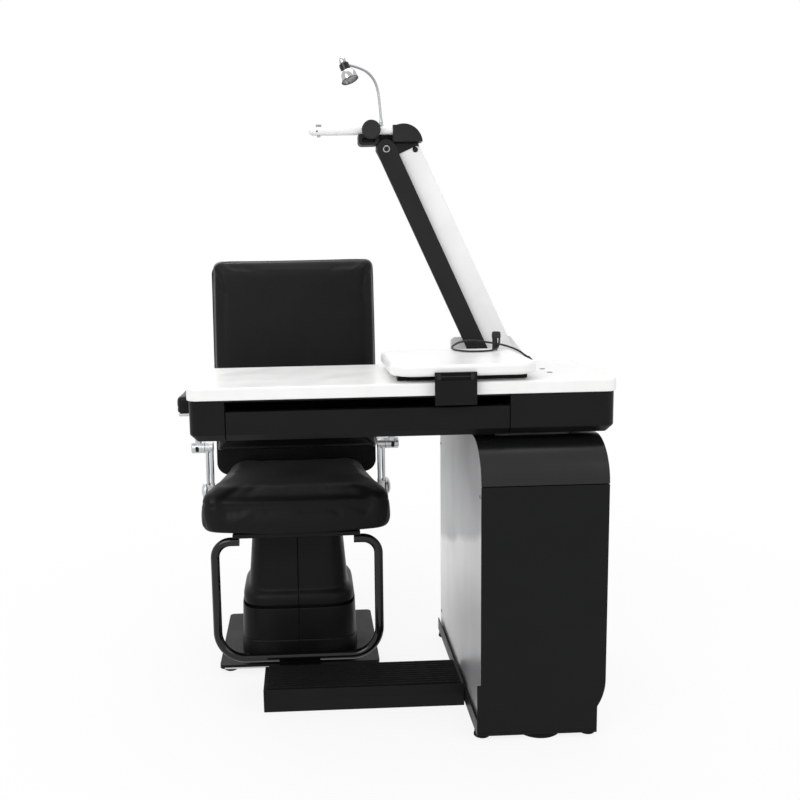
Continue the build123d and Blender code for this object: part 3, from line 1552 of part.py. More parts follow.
# Armrests: a barrel that turns on the pin, an upright, and a plate under the pad
pad_width = 60
pad_length = 262
pad_height = 52
pad_rise = 385
plate_thickness = 8
upright_width = 16
upright_depth = 28
pad_plate_inset = 8
pad_round = 20
pad_edge = 12
pad_y0 = table_y1 + pad_gap
pad_y1 = pad_y0 + pad_length
pad_z0 = seat_bottom + pad_rise - pad_height
plate_z0 = pad_z0 - soft_gap - plate_thickness
pad_shares = ((0.0, 0.45), (0.12, 0.12), (0.30, 0.0), (0.62, 0.0), (0.84, 0.28), (0.95, 0.62), (1.0, 1.0))
for side, name in ((-1, "left"), (1, "right")):
    barrel_x = chair_x + side * (arm_post_reach + post_width + slide_gap)
    barrel_run = barrel_length - post_width - slide_gap
    pad_x = chair_x + side * (chair_pad_reach - pad_width / 2)
    upright_x = barrel_x + side * barrel_run / 2
    with BuildPart() as armrest:
        rod((barrel_x, post_y, barrel_z), (side, 0, 0), barrel_run, barrel_radius)
        block(
            upright_x - upright_width / 2, upright_x + upright_width / 2,
            post_y - upright_depth / 2, post_y + upright_depth / 2, barrel_z, plate_z0,
        )
        block(
            pad_x - pad_width / 2 + pad_plate_inset, pad_x + pad_width / 2 - pad_plate_inset,
            pad_y0 + pad_plate_inset, pad_y1 - pad_plate_inset, plate_z0, plate_z0 + plate_thickness,
        )
        rod(
            (barrel_x - side * overrun, post_y, barrel_z), (side, 0, 0),
            barrel_run + 2 * overrun, barrel_pin_radius + turn_gap, Mode.SUBTRACT,
        )
    armrest.part.label = f"armrest_{name}"
    export_step(armrest.part, f"parts/armrest_{name}.step")
    with BuildPart() as arm_pad:
        for thickness_share, edge_share in pad_shares:
            inset = pad_edge * edge_share
            with BuildSketch(Plane.XY.offset(pad_z0 + pad_height * thickness_share)):
                with Locations((pad_x, (pad_y0 + pad_y1) / 2)):
                    RectangleRounded(pad_width - 2 * inset, pad_y1 - pad_y0 - 2 * inset, pad_round - inset)
        loft(ruled=True)
    arm_pad.part.label = f"arm_pad_{name}"
    export_step(arm_pad.part, f"parts/arm_pad_{name}.step")
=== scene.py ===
import json
from math import copysign, cos, pi, radians, sin

import bmesh
import bpy
from bpy.props import (
    FloatProperty, FloatVectorProperty, IntProperty, PointerProperty, StringProperty,
)
from mathutils import Matrix, Vector


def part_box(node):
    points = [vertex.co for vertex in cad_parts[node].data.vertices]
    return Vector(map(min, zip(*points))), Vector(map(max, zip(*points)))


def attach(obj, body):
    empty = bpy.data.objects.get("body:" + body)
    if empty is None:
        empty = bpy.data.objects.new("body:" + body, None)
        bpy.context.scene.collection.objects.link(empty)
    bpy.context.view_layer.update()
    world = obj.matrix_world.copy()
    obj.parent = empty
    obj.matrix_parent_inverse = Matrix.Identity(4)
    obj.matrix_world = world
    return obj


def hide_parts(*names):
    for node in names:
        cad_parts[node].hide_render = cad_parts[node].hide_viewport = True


bl_info = {
    "name": "Optometry Combination Table",
    "version": (1, 0, 0),
    "blender": (4, 5, 0),
    "location": "View3D > Sidebar > Optometry",
    "description": "Dresses an optometry table with its finishes, cushions, cable and fittings",
    "category": "Object",
}

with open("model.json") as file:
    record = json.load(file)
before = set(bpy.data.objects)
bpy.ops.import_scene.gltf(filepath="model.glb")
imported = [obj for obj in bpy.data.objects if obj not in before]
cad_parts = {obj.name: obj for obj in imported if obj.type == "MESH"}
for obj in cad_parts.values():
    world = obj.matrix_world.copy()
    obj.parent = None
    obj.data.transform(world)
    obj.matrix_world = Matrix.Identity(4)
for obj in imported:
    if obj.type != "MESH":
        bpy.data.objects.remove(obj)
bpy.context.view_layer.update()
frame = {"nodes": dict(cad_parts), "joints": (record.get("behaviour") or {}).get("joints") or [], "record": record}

# Blender works in metres. A size written in millimetres is multiplied by mm, and hard
# pieces are built in millimetres and brought to metres when they are finished.
mm = 0.001
merge_reach = 0.01

BODY_OF = {
    node: body
    for body, nodes in frame["record"]["behaviour"]["bodies"].items() for node in nodes
}
TO_RIGHT = Vector((1, 0, 0))
TO_VIEWER = Vector((0, -1, 0))
UP = Vector((0, 0, 1))


def station(node):
    """A node's lowest and highest corners in millimetres."""
    lowest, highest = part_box(node)
    return lowest / mm, highest / mm


def joint_place(name):
    """Where a joint turns, in millimetres."""
    joint = next(each for each in frame["joints"] if each["name"] == name)
    return Vector(joint["pos_m"]) / mm


# Places that several pieces share, all read from the frame, in millimetres
seat_low, seat_high = station("seat_cushion")
base_low, base_high = station("chair_base")
plate_low, plate_high = station("cabinet_base")
cover_low, cover_high = station("column_cover_lower")
seat_frame_front = station("seat_frame")[0].y
chair_x = (base_low.x + base_high.x) / 2
chair_y = (cover_low.y + cover_high.y) / 2
lower_pivot = joint_place("arm_tilt")
upper_pivot = joint_place("head_level")
tube_middle = joint_place("tube_roll")
neck_foot = joint_place("lamp_swivel")
neck_end = joint_place("lamp_tilt")
barrel_place = joint_place("left_armrest_flip")
link_way = (upper_pivot - lower_pivot) * Vector((1, 0, 1))
link_side = Vector((link_way.z, 0, -link_way.x)).normalized()

# Sizes that the frame doesn't state, in millimetres
link_pitch = 85
chair_foot_reach = 164
chair_plate_reach = 194


# Settings
def number(name, description, default, **more):
    """A number setting."""
    return FloatProperty(name=name, description=description, default=default, **more)


def length(name, description, default):
    """A length setting, with its default in millimetres."""
    return number(name, description, default * mm, unit="LENGTH")


def angle(name, description, default):
    """An angle setting, with its default in degrees."""
    return number(name, description, radians(default), subtype="ANGLE")


def hex_colour(name, description, default):
    """A colour setting, as sRGB hex."""
    return StringProperty(name=name, description=description, default=default)


class ViewSettings(bpy.types.PropertyGroup):
    place: FloatVectorProperty(
        name="Place", description="Where the camera stands", size=3, subtype="TRANSLATION",
        unit="LENGTH", default=(-0.189, -2.529, 1.207),
    )
    lens: number("Lens", "Focal length in millimetres", 40.5, min=10, subtype="DISTANCE_CAMERA")
    yaw: angle("Yaw", "Turn to the right of straight ahead", 2.1)
    pitch: angle("Pitch", "Tilt above the horizon", -7.85)
    roll: angle("Roll", "Turn about the line of sight", -1.1)
    shift_right: number("Shift right", "Lens shift to the right", 0.075)
    shift_up: number("Shift up", "Lens shift upwards", -0.025)


class ColourSettings(bpy.types.PropertyGroup):
    leather: hex_colour("Leather", "Upholstery", "#0d0d0e")
    black_coat: hex_colour("Black coat", "Powder coat on steel", "#121313")
    black_plastic: hex_colour("Black plastic", "Moulded black plastic", "#121212")
    arm_coat: hex_colour("Arm coat", "Dark coat on the folding arm", "#222222")
    white_coat: hex_colour("White coat", "White coat on steel", "#efefef")
    white_plastic: hex_colour("White plastic", "Table top and tray", "#f3f3f2")
    rubber: hex_colour("Rubber", "Feet and tread", "#0f0f0f")
    cable: hex_colour("Cable", "Cable sheath", "#1c1c1c")


class SoftSettings(bpy.types.PropertyGroup):
    voxel: length("Voxel", "Mesh size of the seat and the back", 6)
    pad_voxel: length("Pad voxel", "Mesh size of the arm pads", 4)
    pressure: number("Pressure", "Cloth pressure that fills a cushion", 4.0)
    cap: length("Cap", "Furthest that a point of a cushion may swell", 12)
    pad_cap: length("Pad cap", "Furthest that a point of an arm pad may swell", 5)
    frames: IntProperty(
        name="Frames", description="Steps of the cloth solver", default=20, min=1,
    )
    seam_height: length("Seam height", "Height of the seat's sewn seam", 518)
    seam_depth: length("Seam depth", "Depth of the seat's sewn seam", 2.2)


class CableSettings(bpy.types.PropertyGroup):
    radius: length("Radius", "Radius of the instrument cable", 2.75)
    length: length("Length", "Length of the cable that shows", 465)


class FittingSettings(bpy.types.PropertyGroup):
    sheet_edge: number("Sheet edge", "Rounding of sheet metal edges, in mm", 1.0)
    moulded_edge: number("Moulded edge", "Rounding of moulded edges, in mm", 2.0)
    cast_edge: number("Cast edge", "Rounding of the arm's edges, in mm", 2.0)
    small_edge: number("Small edge", "Rounding of small fittings, in mm", 0.7)
    cover_groove: number("Cover groove", "Depth of the covers' middle seam, in mm", 2.0)
    neck_pitch: number("Neck pitch", "Pitch of the lamp neck's rings, in mm", 5.0)


class TableSettings(bpy.types.PropertyGroup):
    view: PointerProperty(type=ViewSettings)
    colours: PointerProperty(type=ColourSettings)
    soft: PointerProperty(type=SoftSettings)
    cable: PointerProperty(type=CableSettings)
    fittings: PointerProperty(type=FittingSettings)


def settings():
    return bpy.context.scene.optometry_table


# Materials
def levels(text):
    """The three levels of a hex colour, from 0 to 255."""
    return [int(text[i:i + 2], 16) for i in (1, 3, 5)]


def linear(text):
    """An sRGB hex colour as linear values."""
    parts = [level / 255 for level in levels(text)]
    return (*(c / 12.92 if c <= 0.04045 else ((c + 0.055) / 1.055) ** 2.4 for c in parts), 1.0)


def tone(text, factor):
    """A hex colour made lighter or darker by a factor on its sRGB values."""
    return "#%02x%02x%02x" % tuple(min(255, round(level * factor)) for level in levels(text))


def connect(tree, node, links):
    """Links sockets to a node's inputs."""
    for key, socket in links.items():
        tree.links.new(socket, node.inputs[key])


def add(tree, kind, values=None, links=None):
    """Adds a node, sets its properties, input values or colour stops, and links its inputs."""
    made = tree.nodes.new(kind)
    for key, value in (values or {}).items():
        if key == "stops":
            elements = made.color_ramp.elements
            while len(elements) < len(value):
                elements.new(0.5)
            for element, (position, colour) in zip(elements, value):
                element.position = position
                element.color = linear(colour)
        elif isinstance(key, str) and hasattr(made, key):
            setattr(made, key, value)
        else:
            made.inputs[key].default_value = value
    connect(tree, made, links or {})
    return made


def start_material(name, **shader):
    """A new material: itself, its tree, its shader and its object coordinates."""
    made = bpy.data.materials.new(name)
    made.use_nodes = True
    tree = made.node_tree
    tree.nodes.clear()
    coat = add(tree, "ShaderNodeBsdfPrincipled", shader)
    add(tree, "ShaderNodeOutputMaterial", links={"Surface": coat.outputs[0]})
    return made, tree, coat, add(tree, "ShaderNodeTexCoord").outputs["Object"]


def worked_surface(name, colour, rough, factor=1, spread=0.06, drift=0.08, patch=90, grain=3,
                   relief=0.05, stretch=(1, 1, 1), **shader):
    """A hard finish: its tone and gloss drift over patches, and a fine grain breaks its highlights.

    The colour is a hex colour or the name of a colour setting. Sizes are in millimetres.
    """
    if not colour.startswith("#"):
        colour = getattr(settings().colours, colour)
    colour = tone(colour, factor)
    made, tree, coat, place = start_material(name, **shader)
    place = add(tree, "ShaderNodeMapping", {"Scale": stretch}, {"Vector": place}).outputs[0]
    patches, fine = (
        add(
            tree, "ShaderNodeTexNoise", {"Scale": 1 / (size * mm), "Detail": detail},
            {"Vector": place},
        ).outputs["Fac"]
        for size, detail in ((patch, 3.0), (grain, 2.0))
    )
    stops = (0.3, tone(colour, 1 - spread)), (0.7, tone(colour, 1 + spread))
    shade = add(tree, "ShaderNodeValToRGB", {"stops": stops}, {"Fac": patches})
    gloss = add(
        tree, "ShaderNodeMapRange",
        {"From Min": 0.3, "From Max": 0.7, "To Min": rough - drift, "To Max": rough + drift},
        {"Value": patches},
    )
    bump = add(tree, "ShaderNodeBump", {"Strength": 0.6, "Distance": relief * mm}, {"Height": fine})
    connect(tree, coat, {
        "Base Color": shade.outputs[0], "Roughness": gloss.outputs[0], "Normal": bump.outputs[0],
    })
    return made


def vinyl_leather():
    """Vinyl-coated fabric embossed with a grain that breaks its soft broad highlights."""
    leather = settings().colours.leather
    made, tree, coat, place = start_material(
        "embossed_vinyl_leather", **{"Specular IOR Level": 0.14, "Sheen Weight": 0.03},
    )
    bent = add(
        tree, "ShaderNodeTexNoise", {"Scale": 1 / (12 * mm), "Detail": 2.0}, {"Vector": place},
    )
    pulled = add(
        tree, "ShaderNodeVectorMath", {"operation": "MULTIPLY_ADD", 1: (3 * mm,) * 3},
        {0: bent.outputs["Color"], 2: place},
    )
    # A real grain cell is about 1.5 mm wide. It is drawn wider so that it shows in the render.
    cell = 4.5 * mm
    cells = add(
        tree, "ShaderNodeTexVoronoi", {"feature": "DISTANCE_TO_EDGE", "Scale": 1 / cell},
        {"Vector": pulled.outputs[0]},
    )
    creases = add(
        tree, "ShaderNodeMapRange",
        {"From Min": 0.0, "From Max": 0.25, "To Min": 0.0, "To Max": 1.0},
        {"Value": cells.outputs["Distance"]},
    ).outputs[0]
    worn = add(
        tree, "ShaderNodeTexNoise", {"Scale": 1 / (140 * mm), "Detail": 4.0}, {"Vector": place},
    ).outputs["Fac"]
    stops = (0.3, tone(leather, 0.85)), (0.7, tone(leather, 1.2))
    shade = add(tree, "ShaderNodeValToRGB", {"stops": stops}, {"Fac": worn})
    # The grain's creases are drawn darker: painted shade
    dark = add(
        tree, "ShaderNodeMix", {"data_type": "RGBA", "blend_type": "MULTIPLY", 0: 0.25},
        {6: shade.outputs[0], 7: creases},
    )
    gloss = add(
        tree, "ShaderNodeMapRange",
        {"From Min": 0.3, "From Max": 0.7, "To Min": 0.38, "To Max": 0.5}, {"Value": worn},
    )
    bump = add(
        tree, "ShaderNodeBump", {"Strength": 0.35, "Distance": 0.3 * mm}, {"Height": creases},
    )
    connect(tree, coat, {
        "Base Color": dark.outputs[2], "Roughness": gloss.outputs[0], "Normal": bump.outputs[0],
    })
    return made


def polished_side_panel():
    """Polished pale sheet with painted reflections: cloudy smears above a bright band that fades to grey at the
    floor.
    """
    made, tree, coat, place = start_material("pale_sheet_painted_reflection", **{"Metallic": 0.7})
    # The painted reflection follows a line that falls towards the rear, like a floor's edge in a mirror
    leaning = add(
        tree, "ShaderNodeVectorMath", {"operation": "DOT_PRODUCT", 1: (0.0, 0.32, 1.0)}, {0: place},
    ).outputs["Value"]
    smear = add(tree, "ShaderNodeMapping", {"Scale": (1.0, 1.0, 0.12)}, {"Vector": place})
    clouds = add(
        tree, "ShaderNodeTexNoise", {"Scale": 1 / (150 * mm), "Detail": 3.0}, {"Vector": place},
    ).outputs["Fac"]
    pushed = add(
        tree, "ShaderNodeMath", {"operation": "MULTIPLY_ADD", 1: 0.05}, {0: clouds, 2: leaning},
    ).outputs[0]
    # Tones of the painted reflection from the floor up: grey, a bright band, then grey above it
    stops = (
        (0.0, "#c4c5c6"), (0.10, "#cfd0d1"), (0.22, "#e4e4e4"), (0.33, "#f8f8f8"),
        (0.395, "#f8f8f8"), (0.42, "#cdcecf"), (0.60, "#c6c7c8"), (0.78, "#b4b5b6"),
    )
    band = add(tree, "ShaderNodeValToRGB", {"stops": stops}, {"Fac": pushed})
    # Upright smears of painted reflection
    painted_smears = add(
        tree, "ShaderNodeTexNoise", {"Scale": 1 / (110 * mm), "Detail": 2.0},
        {"Vector": smear.outputs[0]},
    )
    stops = (0.3, "#f0f0f0"), (0.5, "#f9f9f9"), (0.7, "#ffffff")
    painted_smears = add(
        tree, "ShaderNodeValToRGB", {"stops": stops}, {"Fac": painted_smears.outputs["Fac"]},
    )
    shade = add(
        tree, "ShaderNodeMix", {"data_type": "RGBA", "blend_type": "MULTIPLY", 0: 0.9},
        {6: band.outputs[0], 7: painted_smears.outputs[0]},
    )
    gloss = add(
        tree, "ShaderNodeMapRange",
        {"From Min": 0.3, "From Max": 0.7, "To Min": 0.4, "To Max": 0.5}, {"Value": clouds},
    )
    connect(tree, coat, {"Base Color": shade.outputs[2], "Roughness": gloss.outputs[0]})
    return made


def frosted_lens():
    """Pressed glass with a fine frost, pale grey where the unlit lamp shows through it."""
    made, tree, coat, place = start_material(
        "frosted_pressed_glass", **{"Roughness": 0.3, "IOR": 1.5, "Transmission Weight": 0.15},
    )
    dimples = add(
        tree, "ShaderNodeTexVoronoi", {"Scale": 1 / (7 * mm)}, {"Vector": place},
    ).outputs["Distance"]
    stops = (0.1, "#c3c5c7"), (0.6, "#77797b")
    shade = add(tree, "ShaderNodeValToRGB", {"stops": stops}, {"Fac": dimples})
    bump = add(
        tree, "ShaderNodeBump", {"Strength": 0.5, "Distance": 0.4 * mm}, {"Height": dimples},
    )
    connect(tree, coat, {"Base Color": shade.outputs[0], "Normal": bump.outputs[0]})
    return made


# A black finish mirrors little of a white room: its pigment sits in a matt binder, so its
# specular level is far below that of a clear varnish.
SPECULAR = "Specular IOR Level"
DULL = {SPECULAR: 0.12}

# Each hard finish: its material's name, its colour, its roughness and what sets it apart
SURFACES = {
    # Sheet steel sprayed with black powder and baked: satin, with a very fine orange peel
    "black_coat": ("powder_coated_black_steel", "black_coat", 0.4, DULL),
    # The rolled top's glossier black coat, which holds a soft band of light along its bend
    "satin_coat": (
        "powder_coated_satin_black_steel", "black_coat", 0.25, {"drift": 0.03, SPECULAR: 0.34},
    ),
    # The arm's dark powder coat, a little greyer and duller than the cabinet's
    "arm_coat": ("powder_coated_dark_grey_steel", "arm_coat", 0.5, DULL),
    # A mid grey that stands for light: a painted highlight on the flange along the front link, and painted light
    # that lifts the shade on the head plate and the web behind the tube
    "edge_coat": ("mid_grey_painted_light", "#505050", 0.45, DULL),
    # The dark grey coat of the arm's head plate, a shade lighter than the link's
    "head_coat": ("powder_coated_grey_head_steel", "#272727", 0.45, DULL),
    # Pale grey on the narrow edges of the rear link: painted shade on its white coat
    "pale_coat": ("white_steel_painted_shade", "#b4b5b7", 0.45, {"spread": 0.02}),
    # White powder coat on the arm's cover and the support tube, even and softly glossy
    "white_coat": (
        "powder_coated_white_steel", "white_coat", 0.36, {"spread": 0.012, "drift": 0.05},
    ),
    # Bent steel tube in gloss black enamel, which draws a thin line of light along each run
    "enamel": (
        "enamelled_black_tube", "black_coat", 0.12,
        {"factor": 0.8, "drift": 0.03, SPECULAR: 0.36},
    ),
    # Injection-moulded ABS with a fine spark texture that spreads its highlights
    "black_plastic": ("moulded_black_abs", "black_plastic", 0.42, {"grain": 2.5, **DULL}),
    # Glass-filled nylon as moulded, dull and a little mottled
    "dark_nylon": ("moulded_dark_grey_nylon", "#2c2c2c", 0.5, {"spread": 0.08, **DULL}),
    # Unpainted nylon plugs, plain and light grey
    "light_nylon": ("moulded_light_grey_nylon", "#8c8d8f", 0.5, {}),
    # White ABS from a polished mould: a clean white with a soft gloss
    "white_plastic": (
        "moulded_white_abs", "white_plastic", 0.32, {"spread": 0.012, "drift": 0.04},
    ),
    # Bright-dipped steel with a satin polish: soft, slightly streaked reflections
    "satin_chrome": (
        "satin_chromed_steel", "#c6c8ca", 0.34,
        {"spread": 0.04, "drift": 0.07, "grain": 2, "relief": 0.02, "Metallic": 1.0},
    ),
    # Polished chrome plate on the lamp's cap and shade, which mirrors the room
    "chrome": (
        "polished_chromed_brass", "#b6b8ba", 0.12,
        {"spread": 0.03, "drift": 0.03, "relief": 0.01, "Metallic": 1.0},
    ),
    # The lamp's bent tube, nickel plated over a brushed surface that draws its glints long
    "nickel": (
        "brushed_nickel_tube", "#989a9c", 0.28,
        {"stretch": (1, 1, 0.2), "relief": 0.02, "Metallic": 1.0},
    ),
    # Zinc-plated screws and runners: grey, with a cloudy spangle
    "zinc": (
        "zinc_plated_steel", "#8f9396", 0.38, {"spread": 0.1, "patch": 30, "Metallic": 1.0},
    ),
    # Oil-blackened steel screws and pins, dark with a faint oily gloss
    "black_steel": ("blackened_steel", "#151516", 0.38, {SPECULAR: 0.2}),
    # Moulded black rubber, matt, with dust in its pores
    "rubber": ("moulded_black_rubber", "rubber", 0.68, {"spread": 0.12, "patch": 25, **DULL}),
    # Extruded PVC cable sheath with a soft sheen
    "pvc": (
        "extruded_black_pvc", "cable", 0.36, {"spread": 0.08, "patch": 20, SPECULAR: 0.3},
    ),
    # Black anodised aluminium, turned: dark, with a bright streak along the collar
    "black_aluminium": (
        "turned_black_aluminium", "#101011", 0.22, {"drift": 0.04, SPECULAR: 0.4},
    ),
}
OTHER_FINISHES = {
    "leather": vinyl_leather, "side_panel": polished_side_panel, "lens": frosted_lens,
}
made_finishes = {}


def finish(key):
    """The material of a finish, made the first time that it is asked for."""
    if key not in made_finishes:
        if key in SURFACES:
            name, colour, rough, more = SURFACES[key]
            made_finishes[key] = worked_surface(name, colour, rough, **more)
        else:
            made_finishes[key] = OTHER_FINISHES[key]()
    return made_finishes[key]


# The carried-over nodes that have each finish
FINISHED_NODES = {
    "black_coat": """cabinet_base front_panel rear_panel cabinet_frame tray_guides tray_runners
        arm_bracket foot_step chair_base seat_frame back_bars""",
    "satin_coat": "top_cover",
    "arm_coat": "front_link clamp_hub",
    "head_coat": "arm_head",
    "white_coat": "arm_cheek rear_link support_tube",
    "enamel": "foot_loop",
    "black_plastic": """table_housing drawer_front drawer_box tray_bracket column_cover_lower
        column_cover_upper back_shell""",
    "dark_nylon": "bracket_clip clamp_knob cable_gland cable_plug",
    "light_nylon": "top_plugs",
    "white_plastic": "table_top instrument_tray",
    "satin_chrome": "lift_inner chair_post_inner arm_posts armrest_left armrest_right",
    "chrome": "ring_cap lamp_shade",
    "nickel": "tip_screw neck_ferrule gooseneck",
    "zinc": "panel_screws lift_outer drawer_runners chair_post_outer",
    "black_steel": "lower_pins upper_pins",
    "rubber": "feet step_tread",
    "pvc": "instrument_cable",
    "black_aluminium": "lamp_collar",
    "leather": "seat_cushion back_cushion arm_pad_left arm_pad_right",
    "side_panel": "left_panel right_panel",
    "lens": "lamp_lens",
}
FINISH_OF = {node: key for key, nodes in FINISHED_NODES.items() for node in nodes.split()}


# Mesh helpers, which work in millimetres
def object_of(name, bm):
    """A mesh brought to metres, as an object in the scene."""
    bmesh.ops.recalc_face_normals(bm, faces=bm.faces[:])
    bmesh.ops.scale(bm, vec=(mm, mm, mm), verts=bm.verts[:])
    mesh = bpy.data.meshes.new(name)
    bm.to_mesh(mesh)
    bm.free()
    made = bpy.data.objects.new(name, mesh)
    bpy.context.scene.collection.objects.link(made)
    return made


def merged(bm):
    bmesh.ops.remove_doubles(bm, verts=bm.verts[:], dist=merge_reach)


def piece(name, bm, node="", finishes="", body="", sharp=radians(35)):
    """Turns a closed mesh into a piece that stands for a CAD node and rides on its body.

    Finishes and a body that are named here take the place of the node's own.
    """
    merged(bm)
    made = object_of(name, bm)
    made.data.shade_smooth()
    made.data.set_sharp_from_angle(angle=sharp)
    for key in (finishes or FINISH_OF[node]).split():
        made.data.materials.append(finish(key))
    evened = made.modifiers.new("even_normals", "WEIGHTED_NORMAL")
    evened.keep_sharp = True
    body = body or BODY_OF[node]
    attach(made, body)
    if node:
        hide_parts(node)
    return made


def soften(bm, width, segments=2, least=radians(30), edges=None, clamp=True):
    """Rounds the sharp edges of a mesh, or the edges that are given."""
    if edges is None:
        merged(bm)
        edges = [e for e in bm.edges if e.is_manifold and e.calc_face_angle(0) > least]
    bmesh.ops.bevel(
        bm, geom=edges, offset=width, offset_type="OFFSET", segments=segments, profile=0.5,
        affect="EDGES", clamp_overlap=clamp, material=-1,
    )


def copied_part(node):
    """A CAD part's own shape, merged, with its flat faces made whole."""
    bm = bmesh.new()
    bm.from_mesh(frame["nodes"][node].data)
    bmesh.ops.scale(bm, vec=(1 / mm,) * 3, verts=bm.verts[:])
    merged(bm)
    bmesh.ops.dissolve_limit(
        bm, angle_limit=radians(0.5), use_dissolve_boundaries=False, verts=bm.verts[:],
        edges=bm.edges[:],
    )
    return bm


def rounded_part(node, width):
    """A piece with a CAD part's shape and rounded edges, which stands for it."""
    bm = copied_part(node)
    soften(bm, width, clamp=False)
    piece(node + "_rounded", bm, node)


def joined_to(bm, part):
    """Adds a part's mesh to another and frees it."""
    holder = bpy.data.meshes.new("holder")
    part.to_mesh(holder)
    part.free()
    bm.from_mesh(holder)
    bpy.data.meshes.remove(holder)


def block(bm, lowest, highest, width=0):
    """A block between two corners, with its edges rounded where a width is given."""
    part = bmesh.new()
    verts = bmesh.ops.create_cube(part, size=1)["verts"]
    lowest, highest = Vector(lowest), Vector(highest)
    bmesh.ops.scale(part, vec=highest - lowest, verts=verts)
    bmesh.ops.translate(part, vec=(lowest + highest) / 2, verts=verts)
    if width:
        soften(part, width)
    joined_to(bm, part)


def turn(bm, profile, start, axis, steps=48):
    """A turned part: (distance along the axis, radius) pairs spun about it from its start."""
    part = bmesh.new()
    axis = Vector(axis).normalized()
    side = axis.orthogonal().normalized()
    start = Vector(start)
    verts = [
        part.verts.new(start + axis * distance + side * radius) for distance, radius in profile
    ]
    edges = [part.edges.new(pair) for pair in zip(verts, verts[1:])]
    bmesh.ops.spin(
        part, geom=verts + edges, cent=start, axis=axis, dvec=(0, 0, 0), angle=2 * pi,
        steps=steps, use_merge=True, use_duplicate=False,
    )
    merged(part)
    joined_to(bm, part)


def turned(profile, start, axis, steps=48):
    """A mesh with one turned part."""
    bm = bmesh.new()
    turn(bm, profile, start, axis, steps)
    return bm


def cut(bm, place, way, clear=False):
    """Cuts a mesh along a plane. With clear, only the side away from its way is kept, closed."""
    bmesh.ops.bisect_plane(
        bm, geom=bm.verts[:] + bm.edges[:] + bm.faces[:], plane_co=place, plane_no=way,
        clear_outer=clear,
    )
    if clear:
        bmesh.ops.holes_fill(bm, edges=[e for e in bm.edges if e.is_boundary])


def ring_edges(verts):
    """The edges of a ring, from its points."""
    return list({edge for vert in verts for edge in vert.link_edges})


def bridged(bm, first, second):
    """Faces between neighbouring rings of edges, from two lists of rings."""
    for edges in zip(first, second):
        bmesh.ops.bridge_loops(bm, edges=edges[0] + edges[1])


def edges_along(bm, axis, least):
    """The edges that run further along an axis than a length."""
    return [e for e in bm.edges if abs(e.verts[0].co[axis] - e.verts[1].co[axis]) > least]


def edges_above(bm, axis, level):
    return [e for e in bm.edges if min(v.co[axis] for v in e.verts) > level]


def edges_below(bm, axis, level):
    return [e for e in bm.edges if max(v.co[axis] for v in e.verts) < level]


def nurbs(name, places, resolution):
    """A smooth curve whose control points are given."""
    curve = bpy.data.curves.new(name, "CURVE")
    curve.dimensions = "3D"
    curve.resolution_u = resolution
    spline = curve.splines.new("NURBS")
    spline.points.add(len(places) - 1)
    for point, place in zip(spline.points, places):
        point.co = (*place, 1)
    spline.order_u = 3
    spline.use_endpoint_u = True
    return curve


def smooth_route(points):
    """Places along the smooth line whose control points are given."""
    curve = nurbs("route", points, 24)
    holder = bpy.data.objects.new("route", curve)
    mesh = bpy.data.meshes.new_from_object(holder)
    places = [vertex.co.copy() for vertex in mesh.vertices]
    bpy.data.meshes.remove(mesh)
    bpy.data.objects.remove(holder)
    bpy.data.curves.remove(curve)
    return places


def spaced(places, step):
    """Places a step apart along a line of places."""
    made = [places[0]]
    left = step
    for start, end in zip(places, places[1:]):
        run = (end - start).length
        at = left
        while at < run:
            made.append(start.lerp(end, at / run))
            at += step
        left = at - run
    return made + [places[-1]]


def ringed_tube(bm, places, radii, side, steps=16):
    """A round tube through places in a plane, a ring at each, closed at both ends."""
    rings = []
    last = len(places) - 1
    for index, (place, radius) in enumerate(zip(places, radii)):
        ahead = (places[min(index + 1, last)] - places[max(index - 1, 0)]).normalized()
        turned_to = Matrix((side, ahead.cross(side), ahead)).transposed().to_4x4()
        turned_to.translation = place
        verts = bmesh.ops.create_circle(
            bm, cap_ends=index in (0, last), radius=radius, segments=steps, matrix=turned_to,
        )["verts"]
        rings.append(ring_edges(verts))
    bridged(bm, rings, rings[1:])


# Camera and stage
class OPTOMETRY_OT_camera(bpy.types.Operator):
    """Place the camera at the viewing point of the photograph"""
    bl_idname = "optometry.camera"
    bl_label = "Camera"

    def execute(self, context):
        v = settings().view
        data = bpy.data.cameras.new("camera")
        data.sensor_width = 36
        data.lens = v.lens
        data.shift_x = v.shift_right
        data.shift_y = v.shift_up
        data.clip_end = 100
        right = Vector((cos(v.yaw), -sin(v.yaw), 0))
        ahead = Vector((sin(v.yaw) * cos(v.pitch), cos(v.yaw) * cos(v.pitch), sin(v.pitch)))
        above = right.cross(ahead)
        rolled_right = right * cos(v.roll) + above * sin(v.roll)
        rolled_above = above * cos(v.roll) - right * sin(v.roll)
        stand = Matrix((rolled_right, rolled_above, -ahead)).transposed().to_4x4()
        stand.translation = v.place
        made = bpy.data.objects.new("camera", data)
        made.matrix_world = stand
        context.scene.collection.objects.link(made)
        context.scene.camera = made
        return {"FINISHED"}


def seen_directly(tree):
    """A factor of 1 for what the camera sees, directly or through a mirror or glass."""
    rays = add(tree, "ShaderNodeLightPath").outputs
    seen = rays["Is Camera Ray"]
    for other in ("Is Glossy Ray", "Is Transmission Ray"):
        links = {0: seen, 1: rays[other]}
        seen = add(tree, "ShaderNodeMath", {"operation": "MAXIMUM"}, links).outputs[0]
    return seen


# Place, point aimed at, width, height and power of each soft box
SOFT_BOXES = {
    "key_lamp": ((-2.0, -2.8, 2.9), (0.0, 0.0, 0.7), 2.4, 2.0, 62),
    "fill_lamp": ((2.6, -2.2, 1.9), (0.1, 0.0, 0.8), 2.0, 2.0, 26),
    "top_lamp": ((0.0, 0.2, 3.6), (0.0, 0.0, 0.8), 2.6, 2.0, 30),
    "rear_lamp": ((-1.6, 2.6, 2.6), (0.0, 0.0, 0.8), 2.0, 1.6, 26),
}


